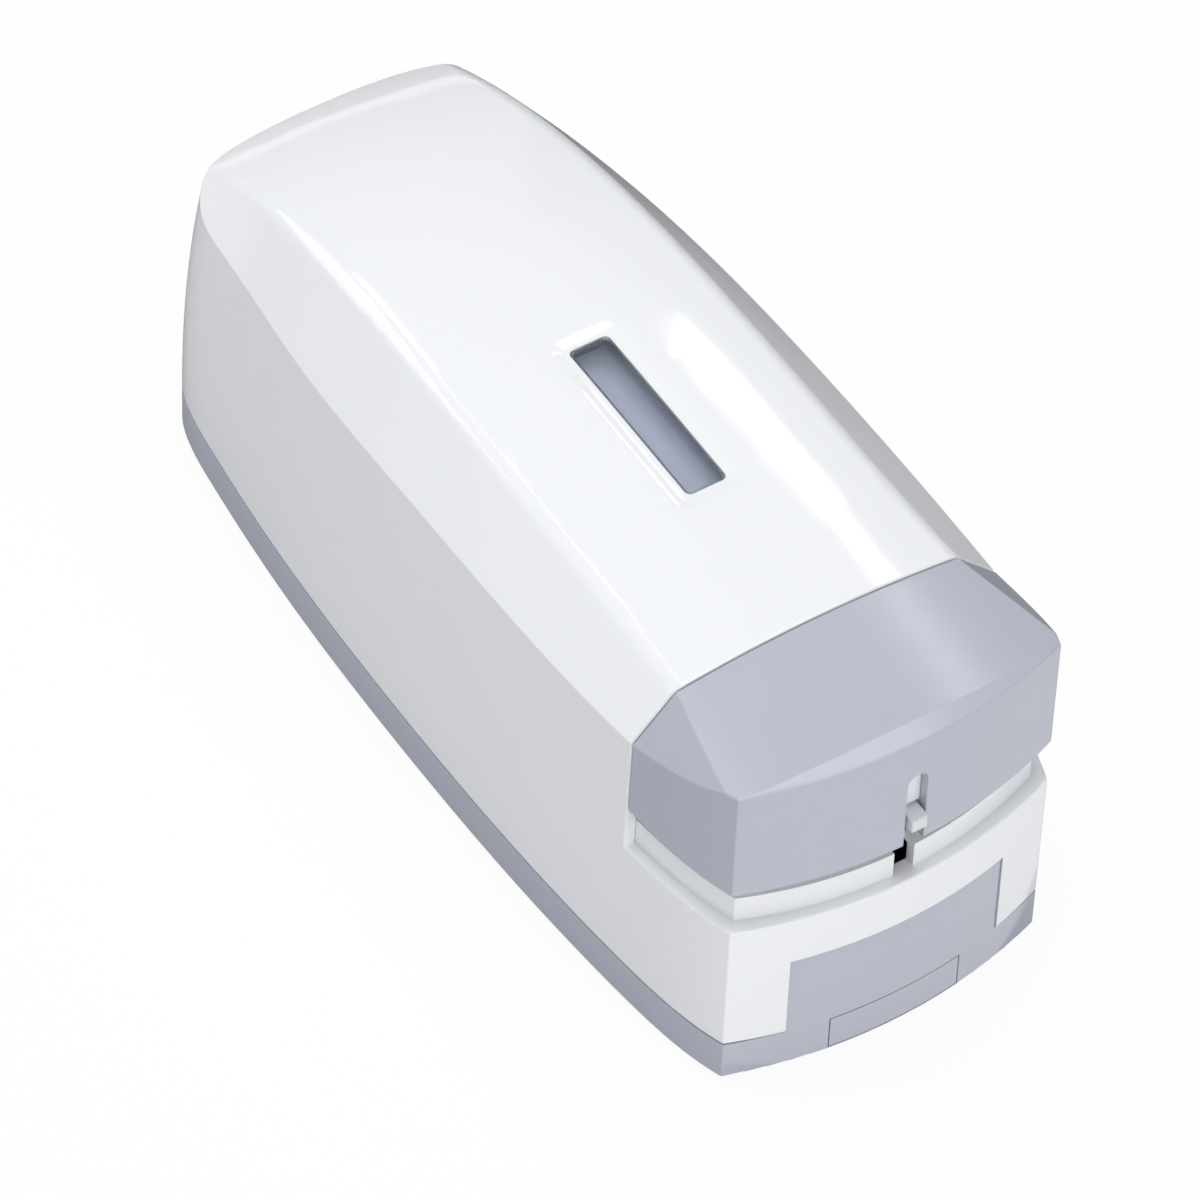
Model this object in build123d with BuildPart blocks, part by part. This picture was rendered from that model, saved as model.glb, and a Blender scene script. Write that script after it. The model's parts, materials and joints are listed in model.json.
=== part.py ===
from build123d import *
import math
import os

# Electric stapler, millimetres. +Z is up, the nose (paper throat) faces -Y, X runs across.
# The origin is the centre of the footprint, on the surface that the rubber feet stand on.

# ---------------------------------------------------------------- driving dimensions: the outer form
NOSE_SAG = 7.3            # how far the curved nose stands out in front of its two corners
BODY_LENGTH = 226.7       # from the nose corners to the middle of the tail
CAP_LENGTH = 30.4         # from the nose corners to the seam between cap and housing
BELLY_AT = 110.0          # stations along the side, from the nose corners
WAIST_AT = BODY_LENGTH - 69.7
HIP_AT = BODY_LENGTH - 41.7
SHOULDER_AT = BODY_LENGTH - 30.7
TAIL_AT = BODY_LENGTH - 9.7
NOSE_HALF = 39.5          # half widths at the bottom of the body
SEAM_HALF = 45.5
BELLY_HALF = 48.7
WAIST_HALF = 47.4
SHOULDER_HALF = 43.9
TAIL_HALF = 38.9
NOSE_FLARE = 0.4          # how fast the body widens behind the nose corners
LEAN_RISE = 100.0         # the walls bow inwards by the next amounts over this height
BOW = 2.5                 # power of the height that the bow follows
SEAM_LEAN = 1.2
BELLY_LEAN = 3.9
WAIST_LEAN = 4.7
SHOULDER_LEAN = 7.9
TAIL_LEAN = 8.3
SHOULDER_SLOPE = 2.0      # how far the walls also run forwards over this height
TAIL_SLOPE = 6.0
BOW_SPAN = 40.0           # walls taller than this are drawn with their bow

FOOT_STAND = 1.5          # the feet hold the tray this far off the table
STRIP_HEIGHT = 10.7       # visible height of the tray below the housing
RIM_HEIGHT = 47.5         # top of the lower nose, above the tray's bottom
CAP_HEIGHT = 59.4         # lower edge of the nose cap, above the tray's bottom
NOSE_TOP = 94.1           # crest of the top above the tray's bottom, from nose to tail
SEAM_TOP = 93.0
BELLY_TOP = 95.0
WAIST_TOP = 93.4
HIP_TOP = 88.7
TAIL_TOP = 70.0
CROWN_RADIUS = 248.0      # crossways crown of the top

RIDGE_SEAM = (44.8, 80.0)     # sharp side ridge (half width, height) at seam, belly, hip and tail
RIDGE_BELLY = (46.7, 77.2)
RIDGE_HIP = (41.6, 73.0)
RIDGE_TAIL = (31.0, 69.0)
BROW_SEAM = (34.5, 90.6)      # soft upper ridge of the same bevel
BROW_BELLY = (32.5, 93.6)
BROW_HIP = (31.4, 86.6)
BROW_TAIL = (29.5, 70.6)

CREST_SET = 3.0           # the crescent over the cap's front starts this far behind its edge, at most
CREST_DROP = 0.6          # and lies this far below the top at its nose corners
CREST_SLOPE = 0.42
EDGE_ROUND = 0.6          # rounding of the shells' outer edges
BROW_ROUND = 6.0          # rounding of the soft upper ridge

# ---------------------------------------------------------------- walls, gaps and fits
WALL = 2.5                # housing and tray walls
CAP_WALL = 2.2
SEAM_GAP = 0.3            # between shells that only meet
SLIDE_GAP = 0.2           # between pieces that slide on each other
SHAFT_GAP = 0.05          # radial running clearance of every shaft and pin
FRONT_SET = 0.8           # the tray's front lies this far behind the housing's
NECK_INSET = 2.6          # the neck under the cap lies this far inside the body
PANEL_HALF = 26.3         # grey panel between the housing's two front legs
PANEL_HEIGHT = 34.0       # its top, above the tray's bottom
WINDOW_WIDTH = 10.0
WINDOW_LENGTH = 46.0
WINDOW_AT = 94.2          # middle of the window, behind the nose corners
WINDOW_CORNER = 1.5
LENS_DROP = 0.9           # the lens lies this far below the top
LENS_FLANGE = 1.8
LENS_THICK = 1.2

# ---------------------------------------------------------------- paper throat and head
THROAT_DEPTH = 32.0       # from the nose corners to the paper stop
THROAT_HEIGHT = 4.8
TABLE_THICK = 2.0
FLOOR_THICK = 1.8         # floor of the drawer, over the throat
SLOT_HALF = 2.5           # lever slot through neck, drawer front and cap
SLOT_TOP = 81.0           # top of the slot in the cap, above the tray's bottom
LEVER_SLOT_TOP = 71.0
LEVER_PROUD = 2.0         # the lever's finger tab stands this far out of the cap's front
BLADE_AT = 1.0            # the staple line, behind the nose corners
STAPLE_WIDTH = 12.8
ANVIL_HALF = 9.3
ANVIL_THICK = 1.2
ANVIL_GAP = 0.2
CHUTE_HALF = 8.0          # the chute that drops loose staples from the anvil into the catch tray
BLADE_THICK = 0.6
STROKE = 11.5

# ---------------------------------------------------------------- magazine drawer
MAGAZINE_LENGTH = 120.0
GUIDE_FRONT = 38.0        # fixed guide that the magazine slides in
GUIDE_BACK = MAGAZINE_LENGTH + 8
SHEET = 0.8               # steel sheet of the magazine
MAGAZINE_HEIGHT = 8.3
PUSHER_LENGTH = 12.0
ROD_RADIUS = 0.8

# ---------------------------------------------------------------- mechanism
CHASSIS_HALF = 12.0       # inner face of each chassis plate
CHASSIS_THICK = 1.5
CHASSIS_BACK = 72.0
CRANK_AT = 36.0
CRANK_Z = 76.5
CRANK_THROW = 2.58
CRANK_PIN_RADIUS = 1.5
ARM_PIVOT_AT = 64.0
ARM_PIVOT_Z = 82.0
ARM_HALF = 2.5
DRIVE_MODULE = 0.8
CRANK_TEETH = 32
SMALL_TEETH = 12
MOTOR_MODULE = 0.6
IDLER_TEETH = 44
PINION_TEETH = 12
IDLER_BACK = 13.0         # the idler lies this far behind the crank
PINION_BACK = 4.45        # the motor pinion lies this far behind the idler
MOTOR_RADIUS = 11.8
MOTOR_LENGTH = 32.0
SHAFT_RADIUS = 2.0
MOTOR_SHAFT_RADIUS = 1.0
BACKLASH = 0.16
PRESSURE_ANGLE = math.radians(25)

# ---------------------------------------------------------------- tray pieces
FOOT_RADIUS = 6.0
FOOT_SEAT = 1.0
CATCH_HALF = 16.1         # pull-out tray that catches loose staples
CATCH_LOW = 0.9
CATCH_HIGH = 9.9
CATCH_LENGTH = 48.0
CATCH_WALL = 1.2
BOSS_RADIUS = 4.0
SCREW_RADIUS = 1.5

SCREW_HEAD_RADIUS = 3.0
SCREW_SINK = 3.0          # depth of the screw heads' recesses
HEAD_THICK = 2.0

# ---------------------------------------------------------------- paper trigger, rear panel, board
TRIGGER_X = -18.0
TRIGGER_HALF = 1.4        # half width of the trigger's finger
TRIGGER_HUB = 2.9         # half width of its hub
TRIGGER_AT = 30.0
TRIGGER_DROP = 7.0        # its pin lies this far below the paper table
TRIGGER_PIN = 1.0
SWITCH_FRONT = 13.0       # paper switch between the trigger's ears, from front to back
SWITCH_END = 25.5
SWITCH_DROP = 6.2         # its underside lies this far below the trigger's pin
EAR_GAP = 0.2
EAR_THICK = 1.5
SWITCH_X = 17.0           # power switch
INLET_X = -15.0           # mains inlet
REAR_HEIGHT = 30.0
ROCKER_SIZE = (12.6, 18.6)
INLET_SIZE = (20.0, 11.0)
PAD_AT = BODY_LENGTH - 7.2  # inner face of the rear pad
PAD_HALF = 28.0
PAD_RISE = 12.0
BOARD_Z = 14.0
BOARD_THICK = 1.6
BOARD_HALF = 30.0
BOARD_TO = BODY_LENGTH - 26.7
REAR_FEET_AT = BODY_LENGTH - 28.7
REAR_BOSS_AT = BODY_LENGTH - 48.7

# ---------------------------------------------------------------- derived positions
NOSE_Y = (NOSE_SAG + LEVER_PROUD - BODY_LENGTH) / 2


def at(distance):
    """Y of a point that lies this far behind the nose corners."""
    return NOSE_Y + distance


def up(height):
    """Z of a point this far above the tray's bottom."""
    return FOOT_STAND + height


AHEAD = at(-20)           # clear of the body, in front of it and behind it
BEHIND = at(BODY_LENGTH + 20)
SEAM_Y = at(CAP_LENGTH)
SEAM_Z = up(STRIP_HEIGHT)
ANVIL_Y = (at(BLADE_AT - 1.2), at(BLADE_AT + 4.8))
RIM_Z = up(RIM_HEIGHT)
CAP_Z = up(CAP_HEIGHT)
TABLE_Z = CAP_Z - THROAT_HEIGHT
TRAY_FLOOR_Z = FOOT_STAND + WALL
FLOOR_LOW = CAP_Z + SLIDE_GAP
FLOOR_TOP = FLOOR_LOW + FLOOR_THICK
MAGAZINE_TOP = FLOOR_TOP + MAGAZINE_HEIGHT
CROWN_CENTRE = up(SEAM_TOP) - CROWN_RADIUS
TALL = up(BELLY_TOP) + 20
WIDE = 2 * BELLY_HALF + 20
REAR_Z = up(REAR_HEIGHT)
BOSS_SPOTS = [(BELLY_HALF - 9.3, at(58)), (WAIST_HALF - 10.8, at(REAR_BOSS_AT))]
BOSS_TOP = SEAM_Z + 26
PANEL_GAP = 0.3
TRIGGER_PIVOT = (at(TRIGGER_AT), TABLE_Z - TRIGGER_DROP)
EAR_INNER = TRIGGER_HUB + EAR_GAP
POST_TOP = FLOOR_LOW - 1


def block(x0, x1, y0, y1, z0, z1):
    """A box between two corners, for use inside a part."""
    return Location(((x0 + x1) / 2, (y0 + y1) / 2, (z0 + z1) / 2)), (x1 - x0, y1 - y0, z1 - z0)


def cut_block(x0, x1, y0, y1, z0, z1, mode=Mode.SUBTRACT):
    """Adds, cuts or keeps the box between two corners in the part being built."""
    place, size = block(x0, x1, y0, y1, z0, z1)
    with Locations(place):
        Box(*size, mode=mode)


def plan_sketch(z, inset, front_set):
    """The body's outline at height z, moved inwards by inset."""
    share = ((z - FOOT_STAND) / LEAN_RISE) ** BOW
    side = [
        (NOSE_HALF - inset, at(inset)),
        (SEAM_HALF - SEAM_LEAN * share - inset, SEAM_Y),
        (BELLY_HALF - BELLY_LEAN * share - inset, at(BELLY_AT)),
        (WAIST_HALF - WAIST_LEAN * share - inset, at(WAIST_AT)),
        (SHOULDER_HALF - SHOULDER_LEAN * share - inset, at(SHOULDER_AT - SHOULDER_SLOPE * share)),
        (TAIL_HALF - TAIL_LEAN * share - 0.8 * inset, at(TAIL_AT - TAIL_SLOPE * share) - 0.6 * inset),
        (0, at(BODY_LENGTH - TAIL_SLOPE * share) - inset),
    ]
    nose = at(front_set + inset - NOSE_SAG)
    with BuildSketch(Plane.XY.offset(z)) as plan:
        with BuildLine():
            Spline(*side, tangents=[(NOSE_FLARE, 1), (-1, 0)])
            Spline(*[(-x, y) for x, y in side], tangents=[(-NOSE_FLARE, 1), (1, 0)])
            ThreePointArc((-side[0][0], side[0][1]), (0, nose), side[0])
        make_face()
    return plan.sketch


def crest(inset):
    """Points of the top's lengthways profile, moved inwards by inset."""
    return [
        (at(-NOSE_SAG - 8), up(NOSE_TOP) - inset),
        (SEAM_Y, up(SEAM_TOP) - inset),
        (at(BELLY_AT), up(BELLY_TOP) - inset),
        (at(WAIST_AT), up(WAIST_TOP) - inset),
        (at(HIP_AT), up(HIP_TOP) - 1.1 * inset),
        (at(BODY_LENGTH), up(TAIL_TOP) - 1.3 * inset),
    ]


def blank(inset, low, high, front_set=0.0):
    """The body between two heights, with its crowned top, before the side bevels."""
    fan = math.radians(20)
    tilted = Plane(origin=(0, 0, CROWN_CENTRE), x_dir=(0, 1, 0), z_dir=(math.cos(fan), 0, math.sin(fan)))
    profile = [(y, z - CROWN_CENTRE) for y, z in crest(inset)]
    beyond = (profile[-1][0] + 20, profile[-1][1] - 20)
    with BuildPart() as form:
        with BuildSketch(tilted):
            with BuildLine():
                Spline(*profile)
                Polyline(profile[-1], beyond, (beyond[0], -CROWN_CENTRE - 30),
                         (profile[0][0], -CROWN_CENTRE - 30), profile[0])
            make_face()
        revolve(axis=Axis((0, 0, CROWN_CENTRE), (0, 1, 0)), revolution_arc=40)
        add(plan_loft(inset, low, high, front_set), mode=Mode.INTERSECT)
    return form.part


def plan_loft(inset, low, high, front_set):
    """The bowed walls between two heights, with flat ends."""
    steps = 3 if high - low > BOW_SPAN else 1
    with BuildPart() as walls:
        for step in range(steps + 1):
            add(plan_sketch(low + (high - low) * step / steps, inset, front_set))
        loft(ruled=steps == 1)
    return walls.part


def bevel_section(ridge, brow, y, inset):
    """Triangle outside the line through ridge and brow at one station."""
    run = brow[0] - ridge[0]
    rise = brow[1] - ridge[1]
    reach = math.hypot(run, rise)
    across = (run / reach, rise / reach)
    inward = (-across[1] * inset, across[0] * inset)
    low = (ridge[0] - 16 * across[0] + inward[0], up(ridge[1]) - 16 * across[1] + inward[1])
    high = (brow[0] + 14 * across[0] + inward[0], up(brow[1]) + 14 * across[1] + inward[1])
    with BuildSketch(Plane(origin=(0, y, 0), x_dir=(1, 0, 0), z_dir=(0, -1, 0))) as section:
        with BuildLine():
            Polyline(low, high, (low[0] + 6, high[1] + 6), low)
        make_face()
    return section.sketch


def side_bevels(inset):
    """What the long bevels of the housing take off, on both sides."""
    stations = [
        (RIDGE_SEAM, BROW_SEAM, SEAM_Y),
        (RIDGE_BELLY, BROW_BELLY, at(BELLY_AT)),
        (RIDGE_HIP, BROW_HIP, at(HIP_AT)),
        (RIDGE_TAIL, BROW_TAIL, at(BODY_LENGTH)),
    ]
    with BuildPart() as cut:
        for ridge, brow, y in stations:
            add(bevel_section(ridge, brow, y, inset))
        loft()
        mirror(about=Plane.YZ)
    return cut.part


def nose_bevels(inset):
    """What the two flat facets of the nose cap take off."""
    brow = Vector(BROW_SEAM[0], SEAM_Y, up(BROW_SEAM[1]))
    ridge = Vector(RIDGE_SEAM[0], SEAM_Y, up(RIDGE_SEAM[1]))
    corner = Vector(NOSE_HALF, at(0), up(NOSE_TOP) - 2.6)
    outward = (ridge - brow).cross(corner - brow).normalized()
    outward = outward if outward.X > 0 else outward * -1
    facet = Plane(origin=brow - outward * inset, x_dir=ridge - brow, z_dir=outward)
    with BuildPart() as cut:
        with BuildSketch(facet):
            Rectangle(120, 120)
        extrude(amount=30)
        mirror(about=Plane.YZ)
    return cut.part


def crescent_section(x):
    """Triangle above the crescent over the cap's front, at one place across."""
    share = 1 - (x / NOSE_HALF) ** 2
    reach = CAP_WALL * 5
    y = at(-CREST_SET * share)
    z = up(NOSE_TOP) - CREST_DROP - x ** 2 / (2 * CROWN_RADIUS)
    low = (y - reach, z - CREST_SLOPE * reach)
    high = (y + reach, z + CREST_SLOPE * reach)
    with BuildSketch(Plane(origin=(x, 0, 0), x_dir=(0, 1, 0), z_dir=(1, 0, 0))) as section:
        with BuildLine():
            Polyline(low, high, (low[0], high[1] + 2), low)
        make_face()
    return section.sketch


def crescent():
    """What the crescent facet takes off the cap's front edge, from corner to corner."""
    with BuildPart() as cut:
        for share in (-1.15, -0.6, 0, 0.6, 1.15):
            add(crescent_section(share * NOSE_HALF))
        loft()
    return cut.part


def shell_form(inset, low, high, front_set=0.0):
    """The bevelled body of the housing between two heights."""
    with BuildPart() as form:
        add(blank(inset, low, high, front_set))
        add(side_bevels(inset), mode=Mode.SUBTRACT)
    return form.part


def cap_form(inset, low):
    """The faceted body of the nose cap above a height."""
    with BuildPart() as form:
        add(blank(inset, low, TALL))
        add(nose_bevels(inset), mode=Mode.SUBTRACT)
    return form.part


def window_prism():
    """The window's round-cornered opening, through the whole top."""
    with BuildPart() as opening:
        with BuildSketch(Plane.XY.offset(up(BELLY_TOP) - 25)):
            with Locations((0, at(WINDOW_AT))):
                RectangleRounded(WINDOW_WIDTH, WINDOW_LENGTH, WINDOW_CORNER)
        extrude(amount=50)
    return opening.part


def is_brow(edge):
    """Whether an edge of the housing runs along the soft upper ridge."""
    return edge.length > BODY_LENGTH / 2 and (edge @ 0.5).Z > up(RIDGE_SEAM[1])


def finish(builder, label):
    """Names a piece and writes it."""
    builder.part.label = label
    export_step(builder.part, f"parts/{label}.step")


os.makedirs("parts", exist_ok=True)


# ---------------------------------------------------------------- outer shells
# Main housing: white upper shell with two front legs, the stepped neck and the paper table.
housing_form = shell_form(0, SEAM_Z + SEAM_GAP, TALL)
housing_inside = shell_form(WALL, TRAY_FLOOR_Z, TALL)
neck_form = plan_loft(NECK_INSET, RIM_Z - WALL, TABLE_Z, 0)
neck_inside = plan_loft(NECK_INSET + WALL, TRAY_FLOOR_Z, TABLE_Z - TABLE_THICK, 0)
# Ledge, neck and paper table of the nose.
with BuildPart() as neck:
    add(neck_form)
    add(plan_loft(WALL / 2, RIM_Z - WALL, RIM_Z, 0))
    add(neck_inside, mode=Mode.SUBTRACT)
    cut_block(-WIDE, WIDE, at(THROAT_DEPTH + WALL), BEHIND, 0, TALL)

# Flat pad inside the rear wall, for the flanges of power switch and mains inlet.
with BuildPart() as rear_pad:
    cut_block(-PAD_HALF, PAD_HALF, at(PAD_AT), at(BODY_LENGTH), REAR_Z - PAD_RISE, REAR_Z + PAD_RISE,
              mode=Mode.ADD)
    add(plan_loft(WALL / 2, SEAM_Z, up(TAIL_TOP), 0), mode=Mode.INTERSECT)

with BuildPart() as main_housing:
    add(housing_form)
    # the nose above the rim is cut away: cap, drawer and throat take its place
    cut_block(-WIDE, WIDE, AHEAD, SEAM_Y + SEAM_GAP, RIM_Z, TALL + 5)
    fillet(main_housing.edges().filter_by(is_brow), BROW_ROUND)
    fillet(main_housing.edges().filter_by(lambda e: e.length > 3 and not is_brow(e)), EDGE_ROUND)
    add(housing_inside, mode=Mode.SUBTRACT)
    add(neck.part)
    add(rear_pad.part)
    # paper stop behind the throat
    stop_half = SEAM_HALF - 1.5 * WALL
    cut_block(-stop_half, stop_half, at(THROAT_DEPTH), at(THROAT_DEPTH + WALL),
              TABLE_Z - TABLE_THICK, POST_TOP, mode=Mode.ADD)
    # opening between the legs for the tray's panel
    cut_block(-PANEL_HALF - PANEL_GAP, PANEL_HALF + PANEL_GAP, AHEAD, at(WALL + 6),
              0, up(PANEL_HEIGHT) + PANEL_GAP)
    # lever slot through neck and table
    cut_block(-SLOT_HALF, SLOT_HALF, AHEAD, at(-0.8), RIM_Z, TABLE_Z + 1)
    # seat of the anvil plate, and the chute below it
    cut_block(-ANVIL_HALF - ANVIL_GAP, ANVIL_HALF + ANVIL_GAP, ANVIL_Y[0] - ANVIL_GAP, ANVIL_Y[1] + ANVIL_GAP,
              TABLE_Z - ANVIL_THICK, TABLE_Z + 1)
    cut_block(-CHUTE_HALF, CHUTE_HALF, at(BLADE_AT + 0.6), at(BLADE_AT + 4), TABLE_Z - 5, TABLE_Z)
    # slot for the paper trigger
    cut_block(TRIGGER_X - TRIGGER_HALF - 0.3, TRIGGER_X + TRIGGER_HALF + 0.3,
              at(SWITCH_END), at(THROAT_DEPTH + WALL + 0.5), TABLE_Z - 5, POST_TOP + 1)
    # ears for the trigger's pin
    for side in (-1, 1):
        inner = TRIGGER_X + side * EAR_INNER
        outer = inner + side * EAR_THICK
        cut_block(min(inner, outer), max(inner, outer), at(SWITCH_FRONT - 0.5), at(THROAT_DEPTH + WALL / 2),
                  TRIGGER_PIVOT[1] - 6.5, TABLE_Z - TABLE_THICK / 2, mode=Mode.ADD)
    with Locations(Plane(origin=(TRIGGER_X, *TRIGGER_PIVOT), x_dir=(0, 1, 0), z_dir=(1, 0, 0))):
        Cylinder(TRIGGER_PIN, 14, mode=Mode.SUBTRACT)
    # screw posts beside the walls
    post_low = SEAM_Z + SEAM_GAP
    for x, y in BOSS_SPOTS:
        with Locations((x, y, (post_low + BOSS_TOP) / 2), (-x, y, (post_low + BOSS_TOP) / 2)):
            Cylinder(BOSS_RADIUS, BOSS_TOP - post_low)
        for side in (-1, 1):
            cut_block(min(side * x, side * (x + 7)), max(side * x, side * (x + 7)), y - 1.2, y + 1.2,
                      SEAM_Z + 4, BOSS_TOP, mode=Mode.ADD)
        with Locations((x, y, SEAM_Z + 10), (-x, y, SEAM_Z + 10)):
            Cylinder(SCREW_RADIUS, 22, mode=Mode.SUBTRACT)
    add(window_prism(), mode=Mode.SUBTRACT)
    # rear cut-outs for the power switch and the mains inlet
    cut_block(SWITCH_X - ROCKER_SIZE[0] / 2, SWITCH_X + ROCKER_SIZE[0] / 2, at(BODY_LENGTH - 14),
              at(BODY_LENGTH + 2), REAR_Z - ROCKER_SIZE[1] / 2, REAR_Z + ROCKER_SIZE[1] / 2)
    cut_block(INLET_X - INLET_SIZE[0] / 2, INLET_X + INLET_SIZE[0] / 2, at(BODY_LENGTH - 14),
              at(BODY_LENGTH + 2), REAR_Z - INLET_SIZE[1] / 2, REAR_Z + INLET_SIZE[1] / 2)
finish(main_housing, "main_housing")

# Base tray: grey bottom shell with its strip all round and the upstanding front panel.
CATCH_CLEAR = 0.3
tray_form = plan_loft(0, FOOT_STAND, SEAM_Z, FRONT_SET)
tray_inside = plan_loft(WALL, TRAY_FLOOR_Z, SEAM_Z + 1, FRONT_SET)
FOOT_SPOTS = [(30, at(22)), (-30, at(22)), (30, at(REAR_FEET_AT)), (-30, at(REAR_FEET_AT))]
BOARD_FROM = GUIDE_BACK + 4
BOARD_SPOTS = [(side * 24, at(place)) for side in (-1, 1) for place in (BOARD_FROM + 6, BOARD_TO - 6)]
CHASSIS_SPOTS = [(17.5, at(56)), (-17.5, at(56)), (17.5, at(68)), (-17.5, at(68))]
with BuildPart() as panel:
    add(plan_loft(0, SEAM_Z - 1, up(PANEL_HEIGHT), FRONT_SET))
    add(plan_loft(WALL, SEAM_Z - 2, up(PANEL_HEIGHT) + 1, FRONT_SET), mode=Mode.SUBTRACT)
    cut_block(-PANEL_HALF, PANEL_HALF, AHEAD, at(10), 0, TALL, mode=Mode.INTERSECT)

with BuildPart() as base_tray:
    add(tray_form)
    fillet(base_tray.edges().filter_by(lambda e: (e @ 0.5).Z < SEAM_Z - 0.1), EDGE_ROUND)
    add(tray_inside, mode=Mode.SUBTRACT)
    add(panel.part)
    # mouth of the catch tray
    cut_block(-CATCH_HALF - CATCH_CLEAR, CATCH_HALF + CATCH_CLEAR, AHEAD, at(WALL + 2),
              up(CATCH_LOW) - CATCH_CLEAR, up(CATCH_HIGH) + CATCH_CLEAR)
    # runners beside the catch tray
    for side in (-1, 1):
        near = side * (CATCH_HALF - 1.5 + SLIDE_GAP)
        far = near + side * 1.6
        cut_block(min(near, far), max(near, far), at(4), at(CATCH_LENGTH + 2),
                  TRAY_FLOOR_Z - 0.5, up(CATCH_HIGH) - 1, mode=Mode.ADD)
    # bosses under the housing's posts
    for x, y in BOSS_SPOTS:
        with Locations((x, y, (FOOT_STAND + SEAM_Z) / 2), (-x, y, (FOOT_STAND + SEAM_Z) / 2)):
            Cylinder(BOSS_RADIUS + 0.5, SEAM_Z - FOOT_STAND)
        with Locations((x, y, SEAM_Z / 2), (-x, y, SEAM_Z / 2)):
            Cylinder(SCREW_RADIUS + 0.3, SEAM_Z + 2, mode=Mode.SUBTRACT)
        with Locations((x, y, FOOT_STAND + SCREW_SINK / 2), (-x, y, FOOT_STAND + SCREW_SINK / 2)):
            Cylinder(SCREW_HEAD_RADIUS + 0.3, SCREW_SINK, mode=Mode.SUBTRACT)
    # standoffs of the circuit board
    for x, y in BOARD_SPOTS:
        with Locations((x, y, (TRAY_FLOOR_Z - 0.5 + BOARD_Z) / 2)):
            Cylinder(3.0, BOARD_Z - TRAY_FLOOR_Z + 0.5)
        with Locations((x, y, BOARD_Z - 2.5)):
            Cylinder(1.2, 5, mode=Mode.SUBTRACT)
    # holes of the chassis screws
    for x, y in CHASSIS_SPOTS:
        with Locations((x, y, TRAY_FLOOR_Z - 1)):
            Cylinder(1.2, 2, mode=Mode.SUBTRACT)
    # seats of the feet
    with Locations(*[(x, y, FOOT_STAND + FOOT_SEAT / 2) for x, y in FOOT_SPOTS]):
        Cylinder(FOOT_RADIUS, FOOT_SEAT, mode=Mode.SUBTRACT)
finish(base_tray, "base_tray")

# Four rubber feet pressed into the tray's underside.
with BuildPart() as rubber_feet:
    with Locations(*[(x, y, (FOOT_STAND + FOOT_SEAT) / 2) for x, y in FOOT_SPOTS]):
        Cylinder(FOOT_RADIUS, FOOT_STAND + FOOT_SEAT)
    chamfer(rubber_feet.faces().filter_by(Axis.Z).group_by(Axis.Z)[0].edges(), 0.5)
finish(rubber_feet, "rubber_feet")

# Four screws that hold tray and housing together.
with BuildPart() as housing_screws:
    for x, y in BOSS_SPOTS:
        low = FOOT_STAND + SCREW_SINK
        with Locations((x, y, low - HEAD_THICK / 2), (-x, y, low - HEAD_THICK / 2)):
            Cylinder(SCREW_HEAD_RADIUS, HEAD_THICK)
        with Locations((x, y, low + 9), (-x, y, low + 9)):
            Cylinder(SCREW_RADIUS, 18)
        with Locations((x, y, low - HEAD_THICK + 0.5), (-x, y, low - HEAD_THICK + 0.5)):
            Box(3.0, 0.8, 1.0, mode=Mode.SUBTRACT)
            Box(0.8, 3.0, 1.0, mode=Mode.SUBTRACT)
finish(housing_screws, "housing_screws")

# Pull-out catch tray: its front lies in the strip, its pan under the anvil's chute.
pan_half = CATCH_HALF - 1.5
with BuildPart() as catch_tray:
    add(plan_loft(0, up(CATCH_LOW), up(CATCH_HIGH), FRONT_SET))
    add(plan_loft(WALL, FOOT_STAND, SEAM_Z, FRONT_SET), mode=Mode.SUBTRACT)
    cut_block(-CATCH_HALF, CATCH_HALF, AHEAD, at(5), 0, SEAM_Z, mode=Mode.INTERSECT)
    pan_low = TRAY_FLOOR_Z + SLIDE_GAP
    pan_high = up(CATCH_HIGH) - 0.6
    cut_block(-pan_half, pan_half, at(-NOSE_SAG + WALL + 0.2), at(CATCH_LENGTH), pan_low, pan_high, mode=Mode.ADD)
    cut_block(-pan_half + CATCH_WALL, pan_half - CATCH_WALL, at(-NOSE_SAG + WALL + FRONT_SET + 2),
              at(CATCH_LENGTH - CATCH_WALL), pan_low + CATCH_WALL, pan_high + 1)
finish(catch_tray, "catch_tray")

# ---------------------------------------------------------------- window
# Housing wall round the window, which the lens's flange reaches under.
with BuildPart() as rebate:
    add(shell_form(0, up(BELLY_TOP) - 25, TALL))
    add(shell_form(WALL, up(BELLY_TOP) - 26, TALL), mode=Mode.SUBTRACT)
    add(window_prism(), mode=Mode.SUBTRACT)

with BuildPart() as window_lens:
    add(shell_form(LENS_DROP, up(BELLY_TOP) - 25, TALL))
    add(shell_form(WALL + LENS_THICK, up(BELLY_TOP) - 26, TALL), mode=Mode.SUBTRACT)
    lens_half = WINDOW_WIDTH / 2 + LENS_FLANGE
    cut_block(-lens_half, lens_half,
              at(WINDOW_AT) - WINDOW_LENGTH / 2 - LENS_FLANGE, at(WINDOW_AT) + WINDOW_LENGTH / 2 + LENS_FLANGE,
              up(BELLY_TOP) - 20, TALL, mode=Mode.INTERSECT)
    add(rebate.part, mode=Mode.SUBTRACT)
finish(window_lens, "window_lens")

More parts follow.
